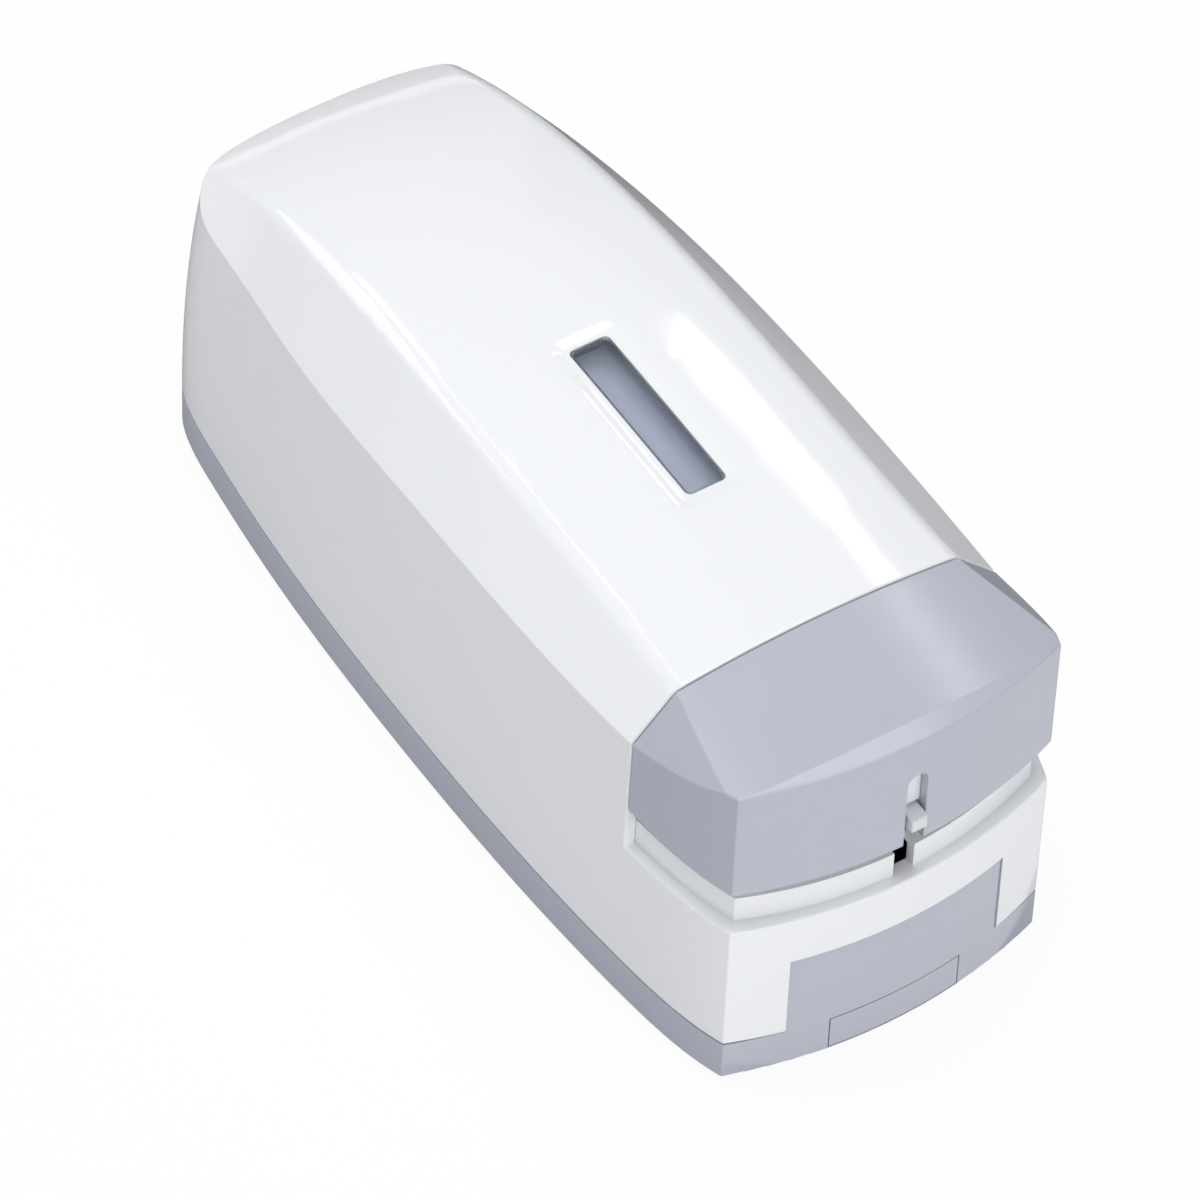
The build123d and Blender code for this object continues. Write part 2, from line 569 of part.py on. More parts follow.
# Grey well under the lens, hung from the housing's top.
WELL_HALF = 9.0
WELL_WALL = 1.4
WELL_DEEP = 9.5
WELL_MARGIN = 4.5
well_front = at(WINDOW_AT) - WINDOW_LENGTH / 2 - WELL_MARGIN
well_back = at(WINDOW_AT) + WINDOW_LENGTH / 2 + WELL_MARGIN
well_floor = up(BELLY_TOP) - WELL_DEEP
with BuildPart() as window_well:
    add(shell_form(WALL, well_floor, TALL))
    cut_block(-WELL_HALF, WELL_HALF, well_front, well_back, well_floor, TALL, mode=Mode.INTERSECT)
    cut_block(-WELL_HALF + WELL_WALL, WELL_HALF - WELL_WALL, well_front + WELL_WALL, well_back - WELL_WALL,
              well_floor + WELL_WALL, TALL)
finish(window_well, "window_well")

# ---------------------------------------------------------------- nose drawer
CARRIER_INSET = CAP_WALL + 0.3
FRONT_PLATE = 1.8
FRONT_HALF = 22.0
CAP_BOSS = [(27, at(16)), (-27, at(16))]
CAP_BOSS_RADIUS = 3.2
CAP_SCREW_RADIUS = 1.2
HOOK_Z = up(SLOT_TOP) + 4  # hook that the lever's spring hangs from
LEVER_PLATE_HALF = 4.0
LEVER_PLATE_THICK = 1.3
front_inner = at(-NOSE_SAG) + CARRIER_INSET + FRONT_PLATE
lever_plate_y = (front_inner + SLIDE_GAP, front_inner + SLIDE_GAP + LEVER_PLATE_THICK)

# Bosses for the two cap screws.
with BuildPart() as bosses:
    add(cap_form(CAP_WALL / 2, FLOOR_TOP))
    with Locations(*[(x, y, (FLOOR_TOP + TALL) / 2) for x, y in CAP_BOSS]):
        Cylinder(CAP_BOSS_RADIUS, TALL - FLOOR_TOP, mode=Mode.INTERSECT)

with BuildPart() as nose_cap:
    add(cap_form(0, CAP_Z))
    cut_block(-WIDE, WIDE, SEAM_Y, BEHIND, 0, TALL + 10)
    add(crescent(), mode=Mode.SUBTRACT)
    fillet(nose_cap.edges(), EDGE_ROUND)
    add(cap_form(CAP_WALL, CAP_Z - 5), mode=Mode.SUBTRACT)
    add(bosses.part)
    with Locations(*[(x, y, FLOOR_TOP + 5) for x, y in CAP_BOSS]):
        Cylinder(CAP_SCREW_RADIUS, 12, mode=Mode.SUBTRACT)
    # lever slot with a round head, open at the cap's lower edge
    with BuildSketch(Plane.XZ.offset(-at(-NOSE_SAG - 2))) as slot:
        with Locations((0, up(SLOT_TOP) - SLOT_HALF)):
            Circle(SLOT_HALF)
        with Locations((0, (CAP_Z - 1 + up(SLOT_TOP) - SLOT_HALF) / 2)):
            Rectangle(2 * SLOT_HALF, up(SLOT_TOP) - SLOT_HALF - CAP_Z + 1)
    extrude(amount=-(NOSE_SAG + 4), mode=Mode.SUBTRACT)
finish(nose_cap, "nose_cap")

with BuildPart() as upright:
    add(plan_loft(CARRIER_INSET, FLOOR_LOW, up(SLOT_TOP) + 5, 0))
    add(plan_loft(CARRIER_INSET + FRONT_PLATE, FLOOR_LOW - 1, TALL, 0), mode=Mode.SUBTRACT)
    cut_block(-FRONT_HALF, FRONT_HALF, AHEAD, at(10), 0, TALL, mode=Mode.INTERSECT)

with BuildPart() as drawer_carrier:
    # floor over the throat
    add(plan_loft(CARRIER_INSET, FLOOR_LOW, FLOOR_TOP, 0))
    cut_block(-WIDE, WIDE, SEAM_Y - 0.5, BEHIND, 0, TALL)
    # upright plate behind the cap's front
    add(upright.part)
    # hook that the lever's spring hangs from
    cut_block(-2, 2, front_inner - 0.5, lever_plate_y[1] + 1, HOOK_Z, HOOK_Z + 1,
              mode=Mode.ADD)
    # lever slot, the space that the lever's plate drops through, and the staple mouth
    cut_block(-SLOT_HALF, SLOT_HALF, AHEAD, front_inner + 2, FLOOR_LOW - 1, up(LEVER_SLOT_TOP - 1.5))
    cut_block(-LEVER_PLATE_HALF - 0.3, LEVER_PLATE_HALF + 0.3, front_inner, lever_plate_y[1] + 0.2,
              FLOOR_LOW - 1, FLOOR_TOP + 1)
    cut_block(-STAPLE_WIDTH / 2 - 0.3, STAPLE_WIDTH / 2 + 0.3, at(BLADE_AT) - BLADE_THICK / 2 - 0.2,
              at(BLADE_AT) + BLADE_THICK / 2 + 0.2, FLOOR_LOW - 1, FLOOR_TOP + 1)
    with Locations(*[(x, y, FLOOR_LOW) for x, y in CAP_BOSS]):
        Cylinder(CAP_SCREW_RADIUS + 0.15, 10, mode=Mode.SUBTRACT)
        Cylinder(2.4, 2 * 0.9, mode=Mode.SUBTRACT)
finish(drawer_carrier, "drawer_carrier")

with BuildPart() as cap_screws:
    with Locations(*[(x, y, FLOOR_LOW + 0.45) for x, y in CAP_BOSS]):
        Cylinder(2.2, 0.9)
    with Locations(*[(x, y, FLOOR_LOW + 0.9 + 4.5) for x, y in CAP_BOSS]):
        Cylinder(CAP_SCREW_RADIUS, 9)
    with Locations(*[(x, y, FLOOR_LOW + 0.2) for x, y in CAP_BOSS]):
        Box(2.4, 0.6, 0.6, mode=Mode.SUBTRACT)
finish(cap_screws, "cap_screws")

# Release lever: finger tab through the slots, plate behind the drawer's front.
TAB_TOP = up(LEVER_SLOT_TOP) - 2.0
TAB_HALF = 1.9
TAB_ROOT = 4.6
TAB_TIP = 3.2
TAB_REACH = at(-NOSE_SAG - LEVER_PROUD)
TAB_SLOPE = 0.3
LEVER_TOP = TAB_TOP + 11
with BuildPart() as release_lever:
    with BuildSketch(Plane.YZ.offset(-TAB_HALF)):
        with BuildLine():
            Polyline((TAB_REACH, TAB_TOP - TAB_SLOPE), (lever_plate_y[1], TAB_TOP),
                     (lever_plate_y[1], TAB_TOP - TAB_ROOT), (at(-NOSE_SAG) + CAP_WALL, TAB_TOP - TAB_ROOT),
                     (TAB_REACH, TAB_TOP - TAB_SLOPE - TAB_TIP), (TAB_REACH, TAB_TOP - TAB_SLOPE))
        make_face()
    extrude(amount=2 * TAB_HALF)
    fillet(release_lever.edges().group_by(Axis.Y)[0], 0.6)
    cut_block(-LEVER_PLATE_HALF, LEVER_PLATE_HALF, *lever_plate_y, TAB_TOP - 1.0, LEVER_TOP, mode=Mode.ADD)
    # eye for the spring
    with Locations(Plane(origin=(0, lever_plate_y[0] + LEVER_PLATE_THICK / 2, LEVER_TOP - 1.6), z_dir=(0, 1, 0))):
        Cylinder(0.8, 6, mode=Mode.SUBTRACT)
finish(release_lever, "release_lever")

# ---------------------------------------------------------------- magazine
channel_half = STAPLE_WIDTH / 2 + 0.8 + SHEET
core_half = 3.0
magazine_front = at(BLADE_AT) + BLADE_THICK / 2 + 0.3
magazine_back = magazine_front + MAGAZINE_LENGTH
ROD_Z = FLOOR_TOP + SHEET + 3.2
with BuildPart() as magazine_channel:
    cut_block(-channel_half, channel_half, magazine_front, magazine_back, FLOOR_TOP, MAGAZINE_TOP, mode=Mode.ADD)
    cut_block(-channel_half + SHEET, channel_half - SHEET, magazine_front - 1, magazine_back - SHEET,
              FLOOR_TOP + SHEET, MAGAZINE_TOP + 1)
finish(magazine_channel, "magazine_channel")

with BuildPart() as staple_core:
    cut_block(-core_half, core_half, magazine_front, magazine_back - SHEET, FLOOR_TOP + SHEET,
              FLOOR_TOP + SHEET + 5.8, mode=Mode.ADD)
    cut_block(-core_half + 0.6, core_half - 0.6, magazine_front + 1.5, magazine_back - SHEET - 1.5,
              FLOOR_TOP + SHEET + 0.6, MAGAZINE_TOP)
    with Locations(Plane(origin=(0, magazine_back - SHEET - 0.5, ROD_Z), z_dir=(0, 1, 0))):
        Cylinder(ROD_RADIUS, 6, mode=Mode.SUBTRACT)
    with Locations(Plane(origin=(0, magazine_front + 0.5, ROD_Z), z_dir=(0, 1, 0))):
        Cylinder(ROD_RADIUS, 6, mode=Mode.SUBTRACT)
finish(staple_core, "staple_core")

with BuildPart() as pusher_rod:
    with Locations(Plane(origin=(0, (magazine_front + magazine_back - SHEET) / 2, ROD_Z), z_dir=(0, 1, 0))):
        Cylinder(ROD_RADIUS, MAGAZINE_LENGTH - SHEET)
finish(pusher_rod, "pusher_rod")

pusher_front = magazine_front + 1.5 + 0.3
with BuildPart() as staple_pusher:
    saddle = STAPLE_WIDTH / 2
    low = FLOOR_TOP + SHEET + 0.3
    cut_block(-saddle, saddle, pusher_front, pusher_front + PUSHER_LENGTH, low, MAGAZINE_TOP, mode=Mode.ADD)
    cut_block(-core_half - SLIDE_GAP, core_half + SLIDE_GAP, pusher_front - 1, pusher_front + PUSHER_LENGTH + 1,
              low - 1, FLOOR_TOP + SHEET + 5.8 + SLIDE_GAP)
    cut_block(-core_half + 0.6 + SLIDE_GAP, core_half - 0.6 - SLIDE_GAP, pusher_front,
              pusher_front + PUSHER_LENGTH, FLOOR_TOP + SHEET + 1.2, MAGAZINE_TOP - 1, mode=Mode.ADD)
    with Locations(Plane(origin=(0, pusher_front, ROD_Z), z_dir=(0, 1, 0))):
        Cylinder(ROD_RADIUS + SHAFT_GAP, 4 * PUSHER_LENGTH, mode=Mode.SUBTRACT)
finish(staple_pusher, "staple_pusher")


def coil(centre, axis, length, radius, wire, turns):
    """A coil spring along an axis, starting at centre."""
    with BuildPart() as spring:
        with BuildLine():
            line = Helix(pitch=length / turns, height=length, radius=radius, center=centre, direction=axis)
        with BuildSketch(Plane(origin=line @ 0, z_dir=line % 0)):
            Circle(wire)
        sweep(path=line)
    return spring


spring_start = pusher_front + PUSHER_LENGTH + 0.3
spring_length = magazine_back - SHEET - 1.5 - 0.3 - spring_start
pusher_spring = coil((0, spring_start, ROD_Z), (0, 1, 0), spring_length, 1.6, 0.25, 26)
finish(pusher_spring, "pusher_spring")

# Fixed guide that carries the magazine between the chassis plates and on a post behind them.
GUIDE_POST = 6.0
guide_low = FLOOR_LOW
guide_top = FLOOR_TOP - SLIDE_GAP
guide_inner = channel_half + SLIDE_GAP
with BuildPart() as magazine_guide:
    cut_block(-CHASSIS_HALF, CHASSIS_HALF, at(GUIDE_FRONT), at(GUIDE_BACK), guide_low, guide_top, mode=Mode.ADD)
    for side in (-1, 1):
        near = side * guide_inner
        far = near + side * 1.4
        cut_block(min(near, far), max(near, far), at(GUIDE_FRONT), at(GUIDE_BACK), guide_low,
                  MAGAZINE_TOP - 3, mode=Mode.ADD)
    cut_block(-guide_inner, guide_inner, at(GUIDE_BACK - GUIDE_POST), at(GUIDE_BACK), TRAY_FLOOR_Z,
              guide_top, mode=Mode.ADD)
    cut_block(-guide_inner + 3, guide_inner - 3, at(GUIDE_BACK - GUIDE_POST) - 1, at(GUIDE_BACK) - 2,
              TRAY_FLOOR_Z + 4, guide_low - 4)
finish(magazine_guide, "magazine_guide")

# Anvil plate let into the paper table under the staple line.
with BuildPart() as anvil_plate:
    cut_block(-ANVIL_HALF, ANVIL_HALF, *ANVIL_Y, TABLE_Z - ANVIL_THICK, TABLE_Z, mode=Mode.ADD)
    # grooves that bend the staple's legs
    for side in (-1, 1):
        with Locations(Plane(origin=(side * 3.4, at(BLADE_AT), TABLE_Z + 0.6), z_dir=(1, 0, 0))):
            Cylinder(1.1, 5.2, mode=Mode.SUBTRACT)
finish(anvil_plate, "anvil_plate")

# ---------------------------------------------------------------- chassis
CHASSIS_TOP = 90.0
CHASSIS_LOW = FLOOR_TOP + 0.3
CHASSIS_FRONT = -1.5
LEG_FROM = 52.0
FOOT_REACH = 8.0
MOTOR_Y = at(CRANK_AT + IDLER_BACK + PINION_BACK)
IDLER_POINT = (at(CRANK_AT + IDLER_BACK), CRANK_Z - math.sqrt((DRIVE_MODULE * (CRANK_TEETH + SMALL_TEETH) / 2) ** 2
                                                             - IDLER_BACK ** 2))
MOTOR_POINT = (MOTOR_Y, IDLER_POINT[1] - math.sqrt((MOTOR_MODULE * (IDLER_TEETH + PINION_TEETH) / 2) ** 2
                                                   - PINION_BACK ** 2))
CRANK_POINT = (at(CRANK_AT), CRANK_Z)
ARM_POINT = (at(ARM_PIVOT_AT), ARM_PIVOT_Z)
EAR_FRONT = at(2.2)
EAR_BACK = at(4.0)
EAR_STOP = 0.8            # bottom of the ear's slot, above the magazine
MOTOR_BOSS = 3.0
MOTOR_SCREW_RING = 8.0
MOTOR_SCREW_RADIUS = 1.0


def cross(point, x):
    """Plane across the machine at x, for round pieces whose axis runs along X."""
    return Plane(origin=(x, *point), x_dir=(0, 1, 0), z_dir=(1, 0, 0))


def rod(point, x0, x1, radius, mode=Mode.ADD):
    """A round rod or hole along X, between x0 and x1."""
    with Locations(cross(point, (x0 + x1) / 2)):
        Cylinder(radius, x1 - x0, mode=mode)


def chassis(side):
    """One chassis plate, with its foot turned outwards."""
    inner = side * CHASSIS_HALF
    outer = side * (CHASSIS_HALF + CHASSIS_THICK)
    left = min(inner, outer)
    right = max(inner, outer)
    toe = side * (CHASSIS_HALF + CHASSIS_THICK + FOOT_REACH)
    with BuildPart() as plate:
        cut_block(left, right, at(CHASSIS_FRONT), at(CHASSIS_BACK), CHASSIS_LOW, CHASSIS_TOP, mode=Mode.ADD)
        cut_block(left, right, at(GUIDE_FRONT), at(CHASSIS_BACK), up(28), CHASSIS_TOP, mode=Mode.ADD)
        cut_block(left, right, at(LEG_FROM), at(CHASSIS_BACK), TRAY_FLOOR_Z, CHASSIS_TOP, mode=Mode.ADD)
        cut_block(min(inner, toe), max(inner, toe), at(LEG_FROM), at(CHASSIS_BACK), TRAY_FLOOR_Z,
                  TRAY_FLOOR_Z + CHASSIS_THICK, mode=Mode.ADD)
        # slot that guides the ram's ear, open at the top
        cut_block(left - 1, right + 1, EAR_FRONT - SLIDE_GAP, EAR_BACK + SLIDE_GAP, MAGAZINE_TOP + EAR_STOP,
                  CHASSIS_TOP + 1)
        # round holes: arm pin, and either the motor's can or the gear shafts
        rod(ARM_POINT, left - 1, right + 1, SHAFT_RADIUS, Mode.SUBTRACT)
        if side < 0:
            rod(MOTOR_POINT, left - 1, right + 1, MOTOR_RADIUS + 0.5, Mode.SUBTRACT)
        else:
            rod(CRANK_POINT, left - 1, right + 1, SHAFT_RADIUS + SHAFT_GAP, Mode.SUBTRACT)
            rod(IDLER_POINT, left - 1, right + 1, SHAFT_RADIUS, Mode.SUBTRACT)
            rod(MOTOR_POINT, left - 1, right + 1, MOTOR_BOSS, Mode.SUBTRACT)
            for turn in (-1, 1):
                spot = (MOTOR_POINT[0] + turn * MOTOR_SCREW_RING, MOTOR_POINT[1])
                rod(spot, left - 1, right + 1, MOTOR_SCREW_RADIUS, Mode.SUBTRACT)
            for spot in PILLARS:
                rod(spot, left - 1, right + 1, 1.0, Mode.SUBTRACT)
        for x, y in CHASSIS_SPOTS:
            if x * side > 0:
                with Locations((x, y, TRAY_FLOOR_Z)):
                    Cylinder(1.2, 6, mode=Mode.SUBTRACT)
    return plate


PILLARS = [(at(41), 47.0), (at(68), 50.0), (at(68), 76.0)]
chassis_left = chassis(-1)
finish(chassis_left, "chassis_left")
chassis_right = chassis(1)
finish(chassis_right, "chassis_right")

with BuildPart() as chassis_screws:
    for x, y in CHASSIS_SPOTS:
        with Locations((x, y, TRAY_FLOOR_Z + CHASSIS_THICK + 0.8)):
            Cylinder(2.4, 1.6)
        with Locations((x, y, TRAY_FLOOR_Z - 1.8 + (CHASSIS_THICK + 1.8) / 2)):
            Cylinder(1.2, CHASSIS_THICK + 1.8)
        with Locations((x, y, TRAY_FLOOR_Z + CHASSIS_THICK + 1.4)):
            Box(2.4, 0.6, 0.5, mode=Mode.SUBTRACT)
finish(chassis_screws, "chassis_screws")

# ---------------------------------------------------------------- motor and gears
PLATE_OUT = CHASSIS_HALF + CHASSIS_THICK
DRIVE_X = (14.0, 19.0)
MOTOR_X = (20.0, 24.5)
COVER_X = (26.0, 27.5)
PILLAR_RADIUS = 2.5

with BuildPart() as motor:
    rod(MOTOR_POINT, CHASSIS_HALF - MOTOR_LENGTH + 3, CHASSIS_HALF, MOTOR_RADIUS)
    rod(MOTOR_POINT, CHASSIS_HALF - MOTOR_LENGTH, CHASSIS_HALF - MOTOR_LENGTH + 3, MOTOR_RADIUS - 2.6)
    rod(MOTOR_POINT, CHASSIS_HALF, CHASSIS_HALF + 1.3, MOTOR_BOSS)
    rod(MOTOR_POINT, CHASSIS_HALF - 4.3, CHASSIS_HALF + 2, MOTOR_SHAFT_RADIUS + SHAFT_GAP, Mode.SUBTRACT)
    for turn in (-1, 1):
        hole = (MOTOR_POINT[0] + turn * MOTOR_SCREW_RING, MOTOR_POINT[1])
        rod(hole, CHASSIS_HALF - 4, CHASSIS_HALF + 1, MOTOR_SCREW_RADIUS, Mode.SUBTRACT)
        # solder tags
        cut_block(CHASSIS_HALF - MOTOR_LENGTH - 4, CHASSIS_HALF - MOTOR_LENGTH,
                  MOTOR_POINT[0] + turn * 6 - 0.3, MOTOR_POINT[0] + turn * 6 + 0.3,
                  MOTOR_POINT[1] - 1.2, MOTOR_POINT[1] + 1.2, mode=Mode.ADD)
finish(motor, "motor")

with BuildPart() as motor_screws:
    for turn in (-1, 1):
        hole = (MOTOR_POINT[0] + turn * MOTOR_SCREW_RING, MOTOR_POINT[1])
        rod(hole, CHASSIS_HALF - 3.8, PLATE_OUT, MOTOR_SCREW_RADIUS)
        rod(hole, PLATE_OUT, PLATE_OUT + 1.2, 1.9)
finish(motor_screws, "motor_screws")

with BuildPart() as arm_pin:
    rod(ARM_POINT, -PLATE_OUT, PLATE_OUT, SHAFT_RADIUS)
    rod(ARM_POINT, -PLATE_OUT - 1, -PLATE_OUT, SHAFT_RADIUS + 1.2)
    rod(ARM_POINT, PLATE_OUT, PLATE_OUT + 1, SHAFT_RADIUS + 1.2)
finish(arm_pin, "arm_pin")

with BuildPart() as idler_shaft:
    rod(IDLER_POINT, CHASSIS_HALF, COVER_X[1], SHAFT_RADIUS)
finish(idler_shaft, "idler_shaft")

# Cover plate of the gear train on three pillars.
with BuildPart() as gear_cover:
    cut_block(*COVER_X, at(CRANK_AT + 1), at(CHASSIS_BACK), PILLARS[0][1] - 3.5, CRANK_Z + 3.5, mode=Mode.ADD)
    cut_block(*COVER_X, at(CRANK_AT - 4), at(CRANK_AT + 14), CRANK_Z - 14.5, CRANK_Z + 5.5, mode=Mode.ADD)
    for spot in PILLARS:
        rod(spot, PLATE_OUT, COVER_X[0], PILLAR_RADIUS)
        rod(spot, CHASSIS_HALF, PLATE_OUT, 1.0)
    rod(IDLER_POINT, COVER_X[0] - 1, COVER_X[1] + 1, SHAFT_RADIUS, Mode.SUBTRACT)
    rod(CRANK_POINT, COVER_X[0] - 1, COVER_X[1] + 1, SHAFT_RADIUS + SHAFT_GAP, Mode.SUBTRACT)
finish(gear_cover, "gear_cover")


def tooth_points(module, teeth, phase):
    """Outline of a spur gear with involute flanks, round its own centre."""
    pitch = module * teeth / 2
    base = pitch * math.cos(PRESSURE_ANGLE)
    tip = pitch + 0.8 * module
    root = pitch - 1.1 * module
    half = (math.pi * module / 2 - BACKLASH / 2) / (2 * pitch)
    spread = half + math.tan(PRESSURE_ANGLE) - PRESSURE_ANGLE
    start = max(base, root)
    radii = [start + (tip - start) * step / 4 for step in range(5)]
    if root < start:
        radii = [root] + radii
    flank = []
    for radius in radii:
        lean = math.acos(min(1, base / max(radius, base)))
        flank.append((radius, spread - (math.tan(lean) - lean)))
    points = []
    for tooth in range(teeth):
        middle = phase + 2 * math.pi * tooth / teeth
        points += [(r * math.cos(middle - a), r * math.sin(middle - a)) for r, a in flank]
        points += [(r * math.cos(middle + a), r * math.sin(middle + a)) for r, a in reversed(flank)]
    return points


def mesh_phase(near, far, near_teeth, far_teeth, near_phase):
    """Phase that lets the far gear's gap stand where the near gear's tooth points."""
    line = math.atan2(far[1] - near[1], far[0] - near[0])
    share = ((line - near_phase) * near_teeth / (2 * math.pi)) % 1
    return line + math.pi + (0.5 + share) * 2 * math.pi / far_teeth


idler_phase = mesh_phase(CRANK_POINT, IDLER_POINT, CRANK_TEETH, SMALL_TEETH, 0)
pinion_phase = mesh_phase(IDLER_POINT, MOTOR_POINT, IDLER_TEETH, PINION_TEETH, 0)

# Crank: web and pin on a stub shaft, inside the chassis.
WEB_X = (3.4, 6.4)
with BuildPart() as crank_shaft:
    rod(CRANK_POINT, WEB_X[1], COVER_X[1], SHAFT_RADIUS)
    rod(CRANK_POINT, *WEB_X, CRANK_THROW + CRANK_PIN_RADIUS + 0.8)
    rod((CRANK_POINT[0], CRANK_Z + CRANK_THROW), -ARM_HALF - 0.2, WEB_X[0], CRANK_PIN_RADIUS)
finish(crank_shaft, "crank_shaft")

with BuildPart() as crank_gear:
    with BuildSketch(cross(CRANK_POINT, DRIVE_X[0])):
        with BuildLine():
            Polyline(*tooth_points(DRIVE_MODULE, CRANK_TEETH, 0), close=True)
        make_face()
    extrude(amount=DRIVE_X[1] - DRIVE_X[0])
    for turn in range(5):
        swing = 2 * math.pi * turn / 5
        hole = (CRANK_POINT[0] + 7.6 * math.cos(swing), CRANK_Z + 7.6 * math.sin(swing))
        rod(hole, DRIVE_X[0] - 1, DRIVE_X[1] + 1, 2.6, Mode.SUBTRACT)
    rod(CRANK_POINT, DRIVE_X[0] - 1, DRIVE_X[1] + 1, SHAFT_RADIUS, Mode.SUBTRACT)
finish(crank_gear, "crank_gear")

with BuildPart() as idler_gear:
    with BuildSketch(cross(IDLER_POINT, DRIVE_X[0])):
        with BuildLine():
            Polyline(*tooth_points(DRIVE_MODULE, SMALL_TEETH, idler_phase), close=True)
        make_face()
    extrude(amount=DRIVE_X[1] - DRIVE_X[0])
    rod(IDLER_POINT, DRIVE_X[1], MOTOR_X[0], SHAFT_RADIUS + 1.5)
    with BuildSketch(cross(IDLER_POINT, MOTOR_X[0])):
        with BuildLine():
            Polyline(*tooth_points(MOTOR_MODULE, IDLER_TEETH, 0), close=True)
        make_face()
    extrude(amount=MOTOR_X[1] - MOTOR_X[0])
    rod(IDLER_POINT, DRIVE_X[0] - 1, MOTOR_X[1] + 1, SHAFT_RADIUS + SHAFT_GAP, Mode.SUBTRACT)
finish(idler_gear, "idler_gear")

with BuildPart() as motor_pinion:
    with BuildSketch(cross(MOTOR_POINT, MOTOR_X[0])):
        with BuildLine():
            Polyline(*tooth_points(MOTOR_MODULE, PINION_TEETH, pinion_phase), close=True)
        make_face()
    extrude(amount=MOTOR_X[1] - MOTOR_X[0])
    rod(MOTOR_POINT, CHASSIS_HALF - 4, MOTOR_X[1], MOTOR_SHAFT_RADIUS)
finish(motor_pinion, "motor_pinion")

# ---------------------------------------------------------------- driver
TILT = math.asin(STROKE / 2 / (ARM_PIVOT_AT - 1.5))
ARM_LENGTH = ARM_PIVOT_AT - 2.0
ARM_TIP = 1.8
ARM_SLOT_HALF = CRANK_THROW + CRANK_PIN_RADIUS + 0.7
ARM_SLOT_RISE = CRANK_PIN_RADIUS + 0.8
arm_along = (-math.cos(TILT), math.sin(TILT))
arm_across = (math.sin(TILT), math.cos(TILT))
tip_z = ARM_PIVOT_Z + ARM_LENGTH * math.sin(TILT)
pin_drop = (CRANK_Z - ARM_PIVOT_Z) * math.cos(TILT)


def arm_point(along, across):
    """Point of the driver arm, measured from its pivot along the arm and square to it."""
    return (ARM_POINT[0] + along * arm_along[0] + across * arm_across[0],
            ARM_POINT[1] + along * arm_along[1] + across * arm_across[1])


with BuildPart() as driver_arm:
    with BuildSketch(Plane.YZ.offset(-ARM_HALF)):
        with BuildLine():
            Polyline(arm_point(-4, 3), arm_point(40, 3), arm_point(54, ARM_TIP), arm_point(ARM_LENGTH, ARM_TIP),
                     arm_point(ARM_LENGTH, -ARM_TIP), arm_point(50, -ARM_TIP), arm_point(35.5, pin_drop - 3.6),
                     arm_point(21, pin_drop - 3.6), arm_point(12, -3), arm_point(-4, -3), close=True)
        make_face()
    extrude(amount=2 * ARM_HALF)
    slot_middle = arm_point(28.1, pin_drop)
    with BuildSketch(Plane(origin=(-ARM_HALF - 1, *slot_middle), x_dir=(0, arm_along[0], arm_along[1]),
                           z_dir=(1, 0, 0))):
        Rectangle(2 * ARM_SLOT_HALF, 2 * ARM_SLOT_RISE)
    extrude(amount=2 * ARM_HALF + 2, mode=Mode.SUBTRACT)
    rod(ARM_POINT, -ARM_HALF - 1, ARM_HALF + 1, SHAFT_RADIUS + SHAFT_GAP, Mode.SUBTRACT)
finish(driver_arm, "driver_arm")

RAM_LOW = tip_z - 3.8
RAM_HIGH = tip_z + 3.7
with BuildPart() as driver_ram:
    cut_block(-CHASSIS_HALF + SLIDE_GAP, CHASSIS_HALF - SLIDE_GAP, at(BLADE_AT) + BLADE_THICK / 2, at(4.8),
              RAM_LOW, RAM_HIGH, mode=Mode.ADD)
    cut_block(-PLATE_OUT, PLATE_OUT, EAR_FRONT, EAR_BACK, RAM_LOW, RAM_HIGH - 2, mode=Mode.ADD)
    cut_block(-ARM_HALF - 0.3, ARM_HALF + 0.3, at(0), at(6), tip_z - 2.4, tip_z + 2.4)
finish(driver_ram, "driver_ram")

with BuildPart() as driver_blade:
    cut_block(-STAPLE_WIDTH / 2 + 0.2, STAPLE_WIDTH / 2 - 0.2, at(BLADE_AT) - BLADE_THICK / 2,
              at(BLADE_AT) + BLADE_THICK / 2, MAGAZINE_TOP + 0.5, RAM_HIGH, mode=Mode.ADD)
finish(driver_blade, "driver_blade")

lever_spring = coil((0, lever_plate_y[1] - 0.1, LEVER_TOP + 0.2), (0, 0, 1),
                    HOOK_Z - LEVER_TOP - 0.4, 0.9, 0.2, 8)
finish(lever_spring, "lever_spring")

# ---------------------------------------------------------------- paper trigger and its switch
with BuildPart() as paper_trigger:
    rod(TRIGGER_PIVOT, TRIGGER_X - TRIGGER_HUB, TRIGGER_X + TRIGGER_HUB, 2.2)
    cut_block(TRIGGER_X - TRIGGER_HALF, TRIGGER_X + TRIGGER_HALF, TRIGGER_PIVOT[0] - 1.5, TRIGGER_PIVOT[0] + 0.7,
              TRIGGER_PIVOT[1], CAP_Z - 0.6, mode=Mode.ADD)
    cut_block(TRIGGER_X - TRIGGER_HALF, TRIGGER_X + TRIGGER_HALF, TRIGGER_PIVOT[0] - 1.2, TRIGGER_PIVOT[0] + 0.8,
              TRIGGER_PIVOT[1] - 5, TRIGGER_PIVOT[1], mode=Mode.ADD)
    rod(TRIGGER_PIVOT, TRIGGER_X - 4, TRIGGER_X + 4, TRIGGER_PIN + SHAFT_GAP, Mode.SUBTRACT)
finish(paper_trigger, "paper_trigger")

with BuildPart() as trigger_pin:
    rod(TRIGGER_PIVOT, TRIGGER_X - EAR_INNER - EAR_THICK, TRIGGER_X + EAR_INNER + EAR_THICK, TRIGGER_PIN)
finish(trigger_pin, "trigger_pin")

